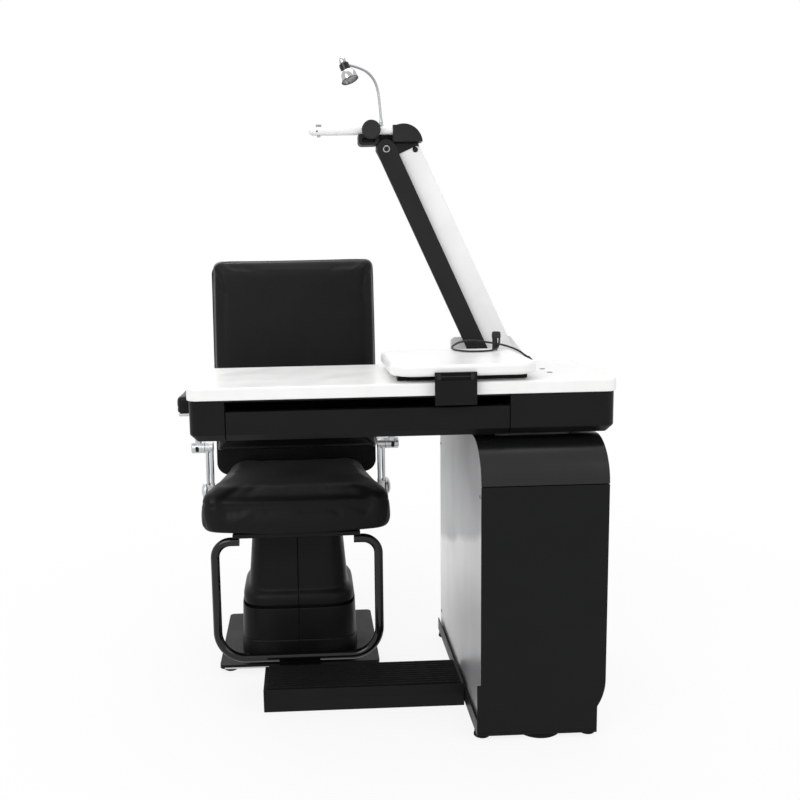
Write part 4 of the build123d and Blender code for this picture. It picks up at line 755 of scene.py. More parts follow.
class OPTOMETRY_OT_stage(bpy.types.Operator):
    """Lay the pale floor and set the soft studio lamps and the world"""
    bl_idname = "optometry.stage"
    bl_label = "Stage"

    def execute(self, context):
        context.scene.view_settings.view_transform = "Standard"
        self.floor(context)
        self.world(context)
        for name, (place, aim, width, height, power) in SOFT_BOXES.items():
            data = bpy.data.lights.new(name, "AREA")
            data.shape = "RECTANGLE"
            data.size = width
            data.size_y = height
            data.energy = power
            made = bpy.data.objects.new(name, data)
            made.location = place
            way = Vector(aim) - Vector(place)
            made.rotation_euler = way.to_track_quat("-Z", "Y").to_euler()
            context.scene.collection.objects.link(made)
        return {"FINISHED"}

    def floor(self, context):
        """Matt white paper, which the camera sees as plain white but for a faint shadow.

        The shadow fades out with the distance from the object, so no horizon shows.
        """
        bm = bmesh.new()
        verts = bmesh.ops.create_grid(bm, x_segments=1, y_segments=1, size=30)["verts"]
        bmesh.ops.translate(bm, vec=(0, 0, -0.2 * mm), verts=verts)
        mesh = bpy.data.meshes.new("studio_floor")
        bm.to_mesh(mesh)
        bm.free()
        made = bpy.data.objects.new("studio_floor", mesh)
        context.scene.collection.objects.link(made)
        material = bpy.data.materials.new("matt_white_paper")
        material.use_nodes = True
        tree = material.node_tree
        tree.nodes.clear()
        place = add(tree, "ShaderNodeTexCoord").outputs["Object"]
        reach = add(tree, "ShaderNodeVectorMath", {"operation": "LENGTH"}, {0: place})
        fade = add(
            tree, "ShaderNodeMapRange",
            {"From Min": 0.5, "From Max": 2.2, "To Min": 0.86, "To Max": 1.0},
            {"Value": reach.outputs["Value"]},
        )
        share = add(
            tree, "ShaderNodeMath", {"operation": "MULTIPLY"},
            {0: seen_directly(tree), 1: fade.outputs[0]},
        )
        paper = add(tree, "ShaderNodeBsdfDiffuse", {"Color": linear("#f4f4f4")})
        glow = add(tree, "ShaderNodeEmission", {"Color": (1, 1, 1, 1), "Strength": 1.0})
        mixed = add(tree, "ShaderNodeMixShader", links={
            0: share.outputs[0], 1: paper.outputs[0], 2: glow.outputs[0],
        })
        add(tree, "ShaderNodeOutputMaterial", links={"Surface": mixed.outputs[0]})
        mesh.materials.append(material)

    def world(self, context):
        world = bpy.data.worlds.new("studio")
        world.use_nodes = True
        tree = world.node_tree
        tree.nodes.clear()
        dim, white = (
            add(tree, "ShaderNodeBackground", {"Color": (1, 1, 1, 1), "Strength": strength})
            for strength in (0.5, 1.0)
        )
        mixed = add(tree, "ShaderNodeMixShader", links={
            0: seen_directly(tree), 1: dim.outputs[0], 2: white.outputs[0],
        })
        add(tree, "ShaderNodeOutputWorld", links={"Surface": mixed.outputs[0]})
        context.scene.world = world


# Instrument cable, in millimetres: out of the gland, over the tray's rear edge, round a
# loop on the tray and up into the plug
CABLE_ROUTE = (
    (430, -36, 915), (414, -38, 930), (388, -40, 943), (354, -44, 954), (320, -47, 960),
    (288, -49, 966), (258, -52, 968), (230, -62, 963), (209, -84, 955), (206, -114, 950),
    (222, -144, 949), (251, -163, 948.6), (283, -160, 948.6), (303, -152, 948.6),
    (318, -134, 949.6), (328, -121, 953), (333, -113, 959.5), (335, -109.5, 969),
    (335.3, -109, 978.5),
)


class OPTOMETRY_OT_cable(bpy.types.Operator):
    """Lay the instrument cable with its gland and its plug"""
    bl_idname = "optometry.cable"
    bl_label = "Instrument cable"

    def execute(self, context):
        c = settings().cable
        places = [[value * mm for value in place] for place in CABLE_ROUTE]
        curve = nurbs("instrument_cable_flex", places, 12)
        curve.bevel_depth = c.radius
        curve.bevel_resolution = 5
        curve.use_fill_caps = True
        flex = bpy.data.objects.new("instrument_cable_flex", curve)
        context.scene.collection.objects.link(flex)
        curve.materials.append(finish("pvc"))
        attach(flex, "table")
        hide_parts("instrument_cable")
        self.plug()
        self.gland()
        return {"FINISHED"}

    def plug(self):
        """An upright plug: a ribbed body, and a wider head that the cable enters from below."""
        bm = bmesh.new()
        lowest, highest = station("cable_plug")
        body = [(0, 0), (0, 6.2), (0.8, 7.0)]
        for rib in range(6):
            start = 2.5 + rib * 4.6
            body += [(start, 7.5), (start + 2.1, 7.5), (start + 2.5, 6.9), (start + 4.2, 6.9)]
        body += [(33, 7.5), (33, 0)]
        turn(bm, body, (323.5, -106.5, lowest.z), UP)
        head_height = 17
        head = [
            (0, 0), (0, 11.2), (0.8, 12.0), (10.5, 12.0), (11.2, 11.4), (14.5, 11.4), (16.4, 9.8),
            (head_height, 7.5), (head_height, 0),
        ]
        turn(bm, head, (327.0, -107.0, highest.z - head_height), UP)
        return piece("cable_plug_body", bm, "cable_plug")

    def gland(self):
        """A screwed gland on the table top with a tapered sleeve round the cable."""
        profile = [
            (-9, 0), (-9, 3.2), (-4, 3.6), (0, 4.6), (0.5, 6.0), (1.2, 6.5), (15, 6.5), (15, 0),
        ]
        way = Vector(CABLE_ROUTE[0]) - Vector(CABLE_ROUTE[1])
        bm = turned(profile, CABLE_ROUTE[0], way, steps=32)
        cut(bm, (0, 0, station("cable_gland")[0].z), -UP, clear=True)
        return piece("cable_gland_sleeve", bm, "cable_gland")


# Cabinet and foot step
class OPTOMETRY_OT_cabinet(bpy.types.Operator):
    """Round the sheet edges of the cabinet, and turn its feet and its screws"""
    bl_idname = "optometry.cabinet"
    bl_label = "Cabinet"

    def execute(self, context):
        edge = settings().fittings.sheet_edge
        for node in ("front_panel", "top_cover", "cabinet_base"):
            rounded_part(node, edge)
        for node in ("left_panel", "right_panel", "rear_panel"):
            rounded_part(node, edge / 2)
        self.screws()
        self.feet()
        return {"FINISHED"}

    def screws(self):
        """Domed screw heads with a socket, near the front and rear edges of both side panels."""
        bm = bmesh.new()
        profile = [
            (-1, 0), (-1, 4), (0, 5), (0.7, 5), (1.4, 4.2), (2, 2.6), (2, 2.2), (1.1, 2), (1.1, 0),
        ]
        inset = 14
        front, rear = station("top_cover")[0].y + inset, station("rear_panel")[1].y - inset
        faces = (
            (station("left_panel")[0].x, -TO_RIGHT, (78, 623)),
            (station("right_panel")[1].x, TO_RIGHT, (178, 623)),
        )
        for face, way, heights in faces:
            for z in heights:
                for y in (front, rear):
                    turn(bm, profile, (face, y, z), way, steps=24)
        piece("panel_screw_heads", bm, "panel_screws")

    def feet(self):
        """Rubber feet with a drawn-in waist, and the round pad under the cabinet's front."""
        bm = bmesh.new()
        top = plate_low.z
        inset, setback, chair_inset, pad_radius = 17, 30, 30, 59
        foot = [(0, 0), (0, 17.5), (1.5, 20), (5, 20), (6.5, 17), (9, 16.5), (top, 18.5), (top, 0)]
        cabinet_feet = (
            (plate_low.x + inset, plate_high.x - inset),
            (plate_low.y + setback, plate_high.y - setback),
        )
        chair_feet = (
            (base_low.x + chair_inset, base_high.x - chair_inset),
            (chair_y - chair_foot_reach, chair_y + chair_foot_reach),
        )
        for across, along in (cabinet_feet, chair_feet):
            for x in across:
                for y in along:
                    turn(bm, foot, (x, y, 0), UP, steps=32)
        pad = [
            (0, 0), (0, 57), (1.5, pad_radius), (8, pad_radius), (10, 57), (top, 56), (top, 0),
        ]
        lift_low, lift_high = station("lift_outer")
        turn(bm, pad, ((lift_low.x + lift_high.x) / 2, plate_low.y + pad_radius, 0), UP)
        piece("moulded_feet", bm, "feet")


class OPTOMETRY_OT_foot_step(bpy.types.Operator):
    """Fold the foot step's front, and round the ribs of its tread"""
    bl_idname = "optometry.foot_step"
    bl_label = "Foot step"

    def execute(self, context):
        front = station("foot_step")[0].y
        fold, lean = 36, 5
        bm = copied_part("foot_step")
        cut(bm, (0, 0, fold), UP)
        # The front's lower band leans in below the fold
        for vert in bm.verts:
            if vert.co.y < front + 10 and vert.co.z < fold:
                vert.co.y += lean * (1 - vert.co.z / fold)
        soften(bm, 1.6, least=radians(4), clamp=False)
        piece("folded_step", bm, "foot_step", sharp=radians(50))
        rounded_part("step_tread", settings().fittings.small_edge)
        return {"FINISHED"}


# Table, drawer and tray
class OPTOMETRY_OT_table(bpy.types.Operator):
    """Round the moulded edges of the table, its drawer and the clip on its tray"""
    bl_idname = "optometry.table"
    bl_label = "Table and drawer"

    def execute(self, context):
        f = settings().fittings
        for node, edge in (
            ("table_housing", f.moulded_edge), ("drawer_front", f.moulded_edge),
            ("tray_bracket", f.small_edge), ("bracket_clip", f.small_edge),
            ("arm_bracket", f.sheet_edge),
        ):
            rounded_part(node, edge)
        bm = bmesh.new()
        lowest, highest = station("top_plugs")
        radius = 7.5
        profile = [
            (-1, 0), (-1, 6), (0, radius), (0.8, radius), (1.5, 6.4), (1.5, 3), (1.0, 2.4),
            (1.0, 0),
        ]
        for y in (lowest.y + radius, highest.y - radius):
            turn(bm, profile, (lowest.x + radius, y, lowest.z), UP, steps=32)
        piece("top_plug_caps", bm, "top_plugs")
        return {"FINISHED"}


# Folding arm
class OPTOMETRY_OT_arm(bpy.types.Operator):
    """Round the arm's castings, and fold the flange along the front link, painted lighter as a highlight"""
    bl_idname = "optometry.arm"
    bl_label = "Folding arm"

    def execute(self, context):
        edge = settings().fittings.cast_edge
        rounded_part("arm_cheek", edge)
        self.head(edge)
        self.rear_link(edge)
        self.front_link(edge)
        self.pins()
        return {"FINISHED"}

    def head(self, edge):
        """The head plate, with a raised web behind the tube and a deeper block over the links."""
        bm = copied_part("arm_head")
        soften(bm, edge, clamp=False)
        x, z = upper_pivot.x, upper_pivot.z
        front, rear = (corner.y for corner in station("arm_head"))
        web_depth = 12.5
        block(bm, (x - 20.5, rear - 1 - web_depth, z + 18), (x + 24, rear - 1, z + 50), edge)
        # The block's face is a part of a disc, cut clear of the links and of the tube's end
        end, radius = 51.5, 55
        disc = [
            (0, 0), (0, radius - 1), (1, radius), (end - 1, radius), (end, radius - 1), (end, 0),
        ]
        dome = turned(disc, (x + 48.7, front - 0.4, z + 15), -TO_VIEWER, steps=72)
        cut(dome, (x + 20, 0, 0), -TO_RIGHT, clear=True)
        cut(dome, (0, 0, z + 20.5), -UP, clear=True)
        joined_to(bm, dome)
        bm.normal_update()
        # Faces behind the block, in its shade, take a lighter grey: painted light on the shaded head plate
        for face in bm.faces:
            face.material_index = 1 if face.calc_center_median().y > rear - 13 else 0
        piece("arm_head_rounded", bm, "arm_head", "head_coat edge_coat")

    def rear_link(self, edge):
        """The rear link, whose narrow edges are painted pale grey: painted shade on its white coat."""
        bm = copied_part("rear_link")
        soften(bm, edge, clamp=False)
        bm.normal_update()
        # The narrow edges take the pale grey: painted shade
        for face in bm.faces:
            if abs(face.normal.y) < 0.5:
                face.material_index = 1
        piece("rear_link_rounded", bm, "rear_link", "white_coat pale_coat")

    def front_link(self, edge):
        """The front link, with a flange along the left of its face that is painted lighter: a painted highlight.
        """
        bm = copied_part("front_link")
        face_y = station("front_link")[0].y
        flange, left_reach = 6, -26

        def on_left_edge(vert):
            off = (vert.co - lower_pivot).dot(link_side)
            return abs(vert.co.y - face_y) < 0.1 and off < left_reach

        corner = [
            e for e in bm.edges if all(on_left_edge(v) for v in e.verts) and e.calc_length() > 100
        ]
        if not corner:
            raise RuntimeError("the front link has no long left edge")
        soften(bm, flange, segments=1, edges=corner)
        bm.normal_update()
        # The flange's leaning faces take a lighter grey: a painted highlight
        for face in bm.faces:
            leans = face.normal.y < -0.3 and face.normal.dot(link_side) < -0.3
            if leans and face.calc_area() > 2000:
                face.material_index = 1
        soften(bm, edge / 2, clamp=False)
        piece("front_link_rounded", bm, "front_link", "arm_coat edge_coat")

    def pins(self):
        """Domed pin heads, and the bright ring round the front one at the top."""
        rise = 3.3
        for node, pivot in (("upper_pins", upper_pivot), ("lower_pins", lower_pivot)):
            bm = bmesh.new()
            rear = station(node)[1].y
            for x, link in ((pivot.x, "front_link"), (pivot.x + link_pitch, "rear_link")):
                head = station(link)[0].y - rise
                end = rear - head
                profile = [(0, 0), (0, 4.5), (0.8, 6), (2, 7), (end - 1, 7), (end, 6), (end, 0)]
                turn(bm, profile, (x, head, pivot.z), -TO_VIEWER, steps=32)
            piece("turned_" + node, bm, node)
        ring = [(0, 7.05), (0, 9), (0.8, 10), (2, 10.5), (3, 10.5), (3, 7.05), (0, 7.05)]
        start = (upper_pivot.x, station("ring_cap")[0].y, upper_pivot.z)
        piece("turned_ring", turned(ring, start, -TO_VIEWER), "ring_cap")


class OPTOMETRY_OT_clamp(bpy.types.Operator):
    """Shape the clamp hub, its knob, the support tube and the screw that hangs at its end"""
    bl_idname = "optometry.clamp"
    bl_label = "Clamp and tube"

    def execute(self, context):
        self.hub()
        self.knob()
        self.tube()
        self.tip_screw()
        return {"FINISHED"}

    def hub(self):
        """The slotted lobe, whose slot's faces take the black coat: painted shade in the hole."""
        lowest, highest = station("clamp_hub")
        bm = copied_part("clamp_hub")
        # Faces inside the slot take the darker black coat: painted shade
        for face in bm.faces:
            x, y, z = face.calc_center_median()
            across = lowest.x + 8 < x < highest.x - 8
            deep = lowest.y + 1 < y < lowest.y + 10
            if across and deep and lowest.z + 4 < z < tube_middle.z - 20:
                face.material_index = 1
        soften(bm, 1.2, clamp=False)
        piece("clamp_hub_rounded", bm, "clamp_hub", "arm_coat black_coat")

    def knob(self):
        """A round knob with a fine ribbed rim, a chamfer and a shallow dish in its face."""
        lowest, highest = station("clamp_knob")
        middle = joint_place("knob_turn")
        end = highest.y - lowest.y
        profile = [
            (0, 0), (0.8, 12), (0.6, 19), (0, 21), (0.4, 22.6), (2.2, 25.8), (3.2, 26.4),
            (11.5, 26.4), (12.8, 25.4), (14, 23), (14, 5), (end, 5), (end, 0),
        ]
        bm = turned(profile, (middle.x, lowest.y, middle.z), -TO_VIEWER, steps=60)

        def on_rim(face):
            x, y, z = face.calc_center_median()
            off = Vector((x - middle.x, z - middle.z)).length
            return 4 < y - lowest.y < 11 and face.calc_area() > 3 and off > 25

        # The rim's ribs are one step of the turning wide
        ribs = [face for face in bm.faces if on_rim(face)][::2]
        bmesh.ops.inset_individual(
            bm, faces=ribs, thickness=0.35, depth=0.6, use_even_offset=True,
        )
        piece("clamp_knob_body", bm, "clamp_knob")

    def tube(self):
        """The support tube: a rounded nose, a small dark dome of painted shade for a hole, and an open far end."""
        lowest, highest = station("support_tube")
        end, radius, hollow = highest.x - lowest.x, 12, 40
        profile = [
            (0, 0), (0, 3), (0.8, 5.2), (2.4, 7.4), (5, 9.4), (8.5, 11), (12.5, 11.8),
            (17, radius), (end - 0.8, radius), (end, 11.2), (end, 10.2), (end - hollow, 10),
            (end - hollow, 0),
        ]
        bm = turned(profile, (lowest.x, tube_middle.y, tube_middle.z), TO_RIGHT)
        piece("support_tube_body", bm, "support_tube")
        # A small dark dome on the tube's front: painted shade that stands for a small hole
        hole_shade = [(-1.5, 0), (-1.5, 2.4), (0.2, 2.4), (0.7, 1.6), (0.8, 0)]
        start = (lowest.x + 23, tube_middle.y - radius, tube_middle.z - 1)
        bm = turned(hole_shade, start, TO_VIEWER, steps=16)
        piece("tube_rivet", bm, finishes="black_steel", body=BODY_OF["support_tube"])

    def tip_screw(self):
        """The wing screw at the tube's end, whose wings sit close on the tube."""
        bm = copied_part("tip_screw")
        lowered = 5.5
        for vert in bm.verts:
            if vert.co.z > tube_middle.z + 13:
                vert.co.z -= lowered
        soften(bm, settings().fittings.small_edge, clamp=False)
        piece("tip_screw_rounded", bm, "tip_screw")


# Lamp
class OPTOMETRY_OT_lamp(bpy.types.Operator):
    """Build the lamp: its ribbed neck, collar, chromed cap and shade, and the frosted lens"""
    bl_idname = "optometry.lamp"
    bl_label = "Lamp"

    def execute(self, context):
        self.neck()
        self.head()
        return {"FINISHED"}

    def neck(self):
        """A bent metal hose from the ferrule to the lamp's collar."""
        foot = Vector((neck_foot.x, neck_foot.y, station("neck_ferrule")[1].z))
        reach, rise = neck_end.x - foot.x, neck_end.z - foot.z
        shares = ((0, 0), (0.04, 0.33), (0.10, 0.60), (0.26, 0.79), (0.565, 0.94), (1, 1))
        places = smooth_route([foot + Vector((reach * a, 0, rise * b)) for a, b in shares])
        # The real hose has a turn every 1.5 mm. It is drawn coarser so that it shows.
        step = settings().fittings.neck_pitch / 2
        places = [foot - UP * 17, foot - UP * 4] + spaced(places, step)
        crest, valley = 3.8, 3.45
        radii = [crest if index % 2 else valley for index in range(len(places))]
        bm = bmesh.new()
        ringed_tube(bm, places, radii, -TO_VIEWER)
        piece("ribbed_neck", bm, "gooseneck")
        ferrule = [
            (-2, 4), (-2, 6.4), (3, 6.4), (3.6, 5.7), (8, 5.5), (8.6, 6), (10, 6), (10.6, 5.3),
            (18.6, 4.6), (19, 4), (-2, 4),
        ]
        piece("turned_ferrule", turned(ferrule, foot - UP * 19, UP, steps=32), "neck_ferrule")

    def head(self):
        """The lamp's turned parts, all on one axis from the middle of its cap."""
        lean_right, lean_front = radians(20), radians(13)
        axis = Vector((
            sin(lean_right) * cos(lean_front), -sin(lean_front),
            -cos(lean_right) * cos(lean_front),
        ))
        top = neck_end + Vector((-11, 0, 8.5))
        collar = [(7.8, 0), (7.8, 11.5), (8.4, 13), (9.4, 14)]
        for ring in range(3):
            start = 12.5 + ring * 4.6
            collar += [(start, 14), (start + 0.5, 13.3), (start + 1.3, 13.3), (start + 1.8, 14)]
        collar += [(27.6, 14), (29, 13.2), (29, 0)]
        cap = [
            (-14, 0), (-13.5, 2.8), (-12.1, 5.5), (-9.8, 7.7), (-6.6, 9.3), (-2.6, 10), (2, 9.9),
            (4.8, 9.5), (6, 9.5), (6, 0),
        ]
        cap_ring = [(5.8, 0), (5.8, 10.2), (6.2, 10.7), (7.4, 10.7), (8, 10.2), (8, 0)]
        rim_ring = [
            (57.6, 23.2), (57.6, 24.7), (58, 25), (58.8, 25), (59.2, 24.6), (59.2, 23.2),
            (57.6, 23.2),
        ]
        shade = [
            (28.8, 14.2), (30.4, 17), (34, 20), (40, 22.8), (48, 24), (55, 24.4), (57.8, 24.6),
            (57.8, 23.3), (52, 22.8), (40, 21.2), (34, 18.4), (30.8, 15.4), (30, 0), (28.8, 0),
            (28.8, 14.2),
        ]
        lens = [(51.6, 0), (51.6, 21.9), (52.6, 22.5), (54.4, 22.5), (55.2, 18), (56, 9), (56.3, 0)]
        piece("turned_collar", turned(collar, top, axis), "lamp_collar")
        piece("chromed_cap", turned(cap, top, axis), "lamp_shade")
        bm = turned(cap_ring, top, axis)
        turn(bm, rim_ring, top, axis)
        piece("lamp_trim_rings", bm, finishes="black_aluminium", body="lamp")
        piece("bell_shade", turned(shade, top, axis), "lamp_shade")
        piece("frosted_lens", turned(lens, top, axis), "lamp_lens")


# Chair
class OPTOMETRY_OT_column_covers(bpy.types.Operator):
    """Mould the two telescoping covers of the chair's column, each with a seam down its front"""
    bl_idname = "optometry.column_covers"
    bl_label = "Column covers"

    def execute(self, context):
        foot = station("column_cover_lower")[0].z
        head = station("column_cover_upper")[1].z
        # Height and width of each level
        self.cover("column_cover_lower", (
            (foot, 352), (72, 351), (74, 349), (75.5, 346), (77, 348), (169, 342.5), (172, 340),
            (172, 336), (foot, 346),
        ))
        self.cover("column_cover_upper", (
            (27, 318), (179.5, 318), (180, 333), (182, 336), (197, 336), (205, 333), (213, 323),
            (219, 310), (224, 303), (231, 299.8), (head, 267), (head, 261), (224, 295),
            (180, 312), (27, 312),
        ))
        return {"FINISHED"}

    def cover(self, node, levels):
        """A cover from its levels, with two creases beside the groove down its front."""
        bm = bmesh.new()
        rings = [self.ring(bm, z, width) for z, width in levels]
        bridged(bm, rings, rings[1:] + rings[:1])
        for off in (-2.4, 0, 2.4):
            cut(bm, (chair_x + off, 0, 0), TO_RIGHT)
        groove = settings().fittings.cover_groove
        for vert in bm.verts:
            if abs(vert.co.x - chair_x) < 0.1 and vert.co.y < chair_y - 100:
                vert.co.y += groove
        piece(node + "_moulded", bm, node, sharp=radians(28))

    def ring(self, bm, z, width):
        """One level of a column cover, a rounded square: its edges."""
        depth, squareness = width - 50, 0.4
        verts = bmesh.ops.create_circle(bm, cap_ends=False, radius=1, segments=96)["verts"]
        for vert in verts:
            across, along = (copysign(abs(c) ** squareness, c) / 2 for c in vert.co.xy)
            vert.co = (chair_x + across * width, chair_y + along * depth, z)
        return ring_edges(verts)


class OPTOMETRY_OT_chair(bpy.types.Operator):
    """Round the chair's plate, its seat frame and the bars behind its back"""
    bl_idname = "optometry.chair"
    bl_label = "Chair frame"

    def execute(self, context):
        rounded_part("chair_base", 1.5)
        rounded_part("seat_frame", 1.5)
        rounded_part("back_bars", settings().fittings.sheet_edge)
        # The shell's rim shows as a thin border round the cushion
        bm = copied_part("back_shell")
        widened = 1.036
        for vert in bm.verts:
            vert.co.x = chair_x + (vert.co.x - chair_x) * widened
        soften(bm, 2, clamp=False)
        piece("back_shell_moulded", bm, "back_shell")
        # A bright satin strip along the plate's front lower edge: a painted highlight
        bm = bmesh.new()
        front, inset = chair_y - chair_plate_reach, 14
        lowest = (base_low.x + inset, front - 0.8, base_low.z + 0.4)
        block(bm, lowest, (base_high.x - inset, front + 0.6, base_low.z + 5), 0.3)
        piece("plate_edge_highlight", bm, finishes="satin_chrome", body="base")
        return {"FINISHED"}


class OPTOMETRY_OT_armrests(bpy.types.Operator):
    """Build the arm posts and the armrests' barrels, uprights and trim plates"""
    bl_idname = "optometry.armrests"
    bl_label = "Arm posts and armrests"
    barrel_radius = 17

    def execute(self, context):
        self.posts()
        for side, name in ((-1, "left"), (1, "right")):
            self.armrest(side, name)
        return {"FINISHED"}

    def posts(self):
        """Each post is a block with a domed boss, two upright bars and a barrel with its pin."""
        y, foot, top = barrel_place.y, station("arm_posts")[0].z, barrel_place.z
        radius, inner_reach, width = self.barrel_radius, 250, 24
        bm = bmesh.new()
        for side in (-1, 1):
            inner = chair_x + side * inner_reach
            outer = inner + side * width
            low_x, high_x = sorted((inner, outer))
            block(bm, (low_x, y - 17, foot), (high_x, y + 17, 522), 2)
            for bar_x in (low_x + 1, high_x - 9.5):
                block(bm, (bar_x, y - 14, 518), (bar_x + 8.5, y + 14, top - 6), 1.5)
            barrel = [
                (0, 0), (0, radius - 0.8), (0.8, radius), (23.2, radius), (24, radius - 0.8),
                (24, 6), (64.2, 6), (65, 5.2), (65, 0),
            ]
            turn(bm, barrel, (inner, y, top), TO_RIGHT * side)
            boss = [(-2, 0), (-2, 26), (0, 28), (4, 27.5), (8, 25.5), (12, 20), (15, 11), (16, 0)]
            turn(bm, boss, (outer, y, 502), TO_RIGHT * side)
        piece("satin_arm_posts", bm, "arm_posts")

    def armrest(self, side, name):
        """A grooved barrel on the post's pin, an upright and the trim plate under the pad."""
        node = "armrest_" + name
        y, z, radius = barrel_place.y, barrel_place.z, self.barrel_radius
        pad_low, pad_high = station("arm_pad_" + name)
        trim_low, trim_high = pad_low.z - 8.3, pad_low.z - 0.3
        pad_x = (pad_low.x + pad_high.x) / 2
        start = chair_x + side * 274.5
        middle = start + side * 20.25
        bm = bmesh.new()
        barrel = [
            (0, 6.1), (0, radius - 0.8), (0.8, radius), (9.4, radius), (9.8, radius - 0.6),
            (10.4, radius - 0.6), (10.8, radius), (38.4, radius), (40.5, 14.8), (40.5, 6.1),
            (0, 6.1),
        ]
        turn(bm, barrel, (start, y, z), TO_RIGHT * side)
        block(bm, (middle - 8, y - 14, z + 6.6), (middle + 8, y + 14, trim_low + 1), 1.8)
        block(
            bm, (pad_x - 22, pad_low.y + 8, trim_low), (pad_x + 22, pad_high.y - 8, trim_high), 1.5,
        )
        piece(node + "_satin", bm, node)
        # A dark sheet on the barrel: painted shade for its slot
        self.lever_slot(start + side * 22.5, name)

    def lever_slot(self, x, name):
        """A dark sheet on the front of the barrel, bent to its round: painted shade that stands for an upright
        slot.
        """
        bm = bmesh.new()
        bmesh.ops.create_grid(bm, x_segments=6, y_segments=12, size=1)
        half_width, half_height, lowered, outside = 5.2, 9, 2.5, self.barrel_radius + 0.3
        for vert in bm.verts:
            across, up = vert.co.xy
            end = max(0.0, (abs(up) - 0.6) / 0.4)
            rise = up * half_height - lowered
            vert.co = barrel_place * Vector((0, 1, 1)) + Vector((
                x + across * half_width * (1 - end * end) ** 0.5,
                -(outside ** 2 - rise * rise) ** 0.5,
                rise,
            ))
        merged(bm)
        bmesh.ops.recalc_face_normals(bm, faces=bm.faces[:])
        bmesh.ops.solidify(bm, geom=bm.faces[:], thickness=1.2)
        piece("lever_slot_" + name, bm, finishes="black_steel", body=name + "_armrest")


# Cushions
def apply_modifiers(obj):
    """Keeps an object's evaluated mesh and drops its modifiers."""
    depsgraph = bpy.context.evaluated_depsgraph_get()
    mesh = bpy.data.meshes.new_from_object(obj.evaluated_get(depsgraph))
    old = obj.data
    obj.modifiers.clear()
    obj.data = mesh
    bpy.data.meshes.remove(old)


def soft_object(name, bm, voxel):
    """A cushion's first shape, brought to metres and given an even mesh."""
    made = object_of(name, bm)
    modifier = made.modifiers.new("voxels", "REMESH")
    modifier.mode = "VOXEL"
    modifier.voxel_size = voxel
    apply_modifiers(made)
    return made


def reshape(obj, moved):
    """Moves each point of an object from its place in millimetres to where a function says."""
    for v in obj.data.vertices:
        v.co = moved(v.co / mm) * mm


def sewn(place, seam, reach, inward, depth):
    """A place near a seam's level, drawn in by up to a depth."""
    off = abs(place.z - seam) / reach
    if off < 1:
        place += inward.normalized() * depth * (1 - off * off) ** 2
    return place


def stuffed(obj, cap, held):
    """Fills a cushion with the cloth solver, caps how far each point moves and evens the mesh."""
    s = settings().soft
    scene = bpy.context.scene
    start = [v.co.copy() for v in obj.data.vertices]
    group = obj.vertex_groups.new(name="held")
    group.add([v.index for v in obj.data.vertices if held(v.co / mm)], 1.0, "REPLACE")
    modifier = obj.modifiers.new("cloth", "CLOTH")
    cloth = modifier.settings
    cloth.quality = 4
    cloth.mass = 0.3
    cloth.use_pressure = True
    cloth.uniform_pressure_force = s.pressure
    cloth.vertex_group_mass = "held"
    cloth.effector_weights.gravity = 0
    modifier.point_cache.frame_start = 1
    modifier.point_cache.frame_end = s.frames
    for step in range(1, s.frames + 1):
        scene.frame_set(step)
    apply_modifiers(obj)
    scene.frame_set(1)
    obj.vertex_groups.clear()
    for vertex, before in zip(obj.data.vertices, start):
        move = vertex.co - before
        if move.length > cap:
            vertex.co = before + move.normalized() * cap
    bm = bmesh.new()
    bm.from_mesh(obj.data)
    for _ in range(3):
        bmesh.ops.smooth_vert(
            bm, verts=bm.verts[:], factor=0.5, use_axis_x=True, use_axis_y=True, use_axis_z=True,
        )
    bm.to_mesh(obj.data)
    bm.free()


def upholstered(obj, node):
    """Leather, smooth shading and one subdivision on a finished cushion."""
    obj.data.shade_smooth()
    obj.data.materials.clear()
    obj.data.materials.append(finish("leather"))
    modifier = obj.modifiers.new("subdivision", "SUBSURF")
    modifier.levels = 1
    modifier.render_levels = 1
    body = BODY_OF[node]
    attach(obj, body)
    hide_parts(node)


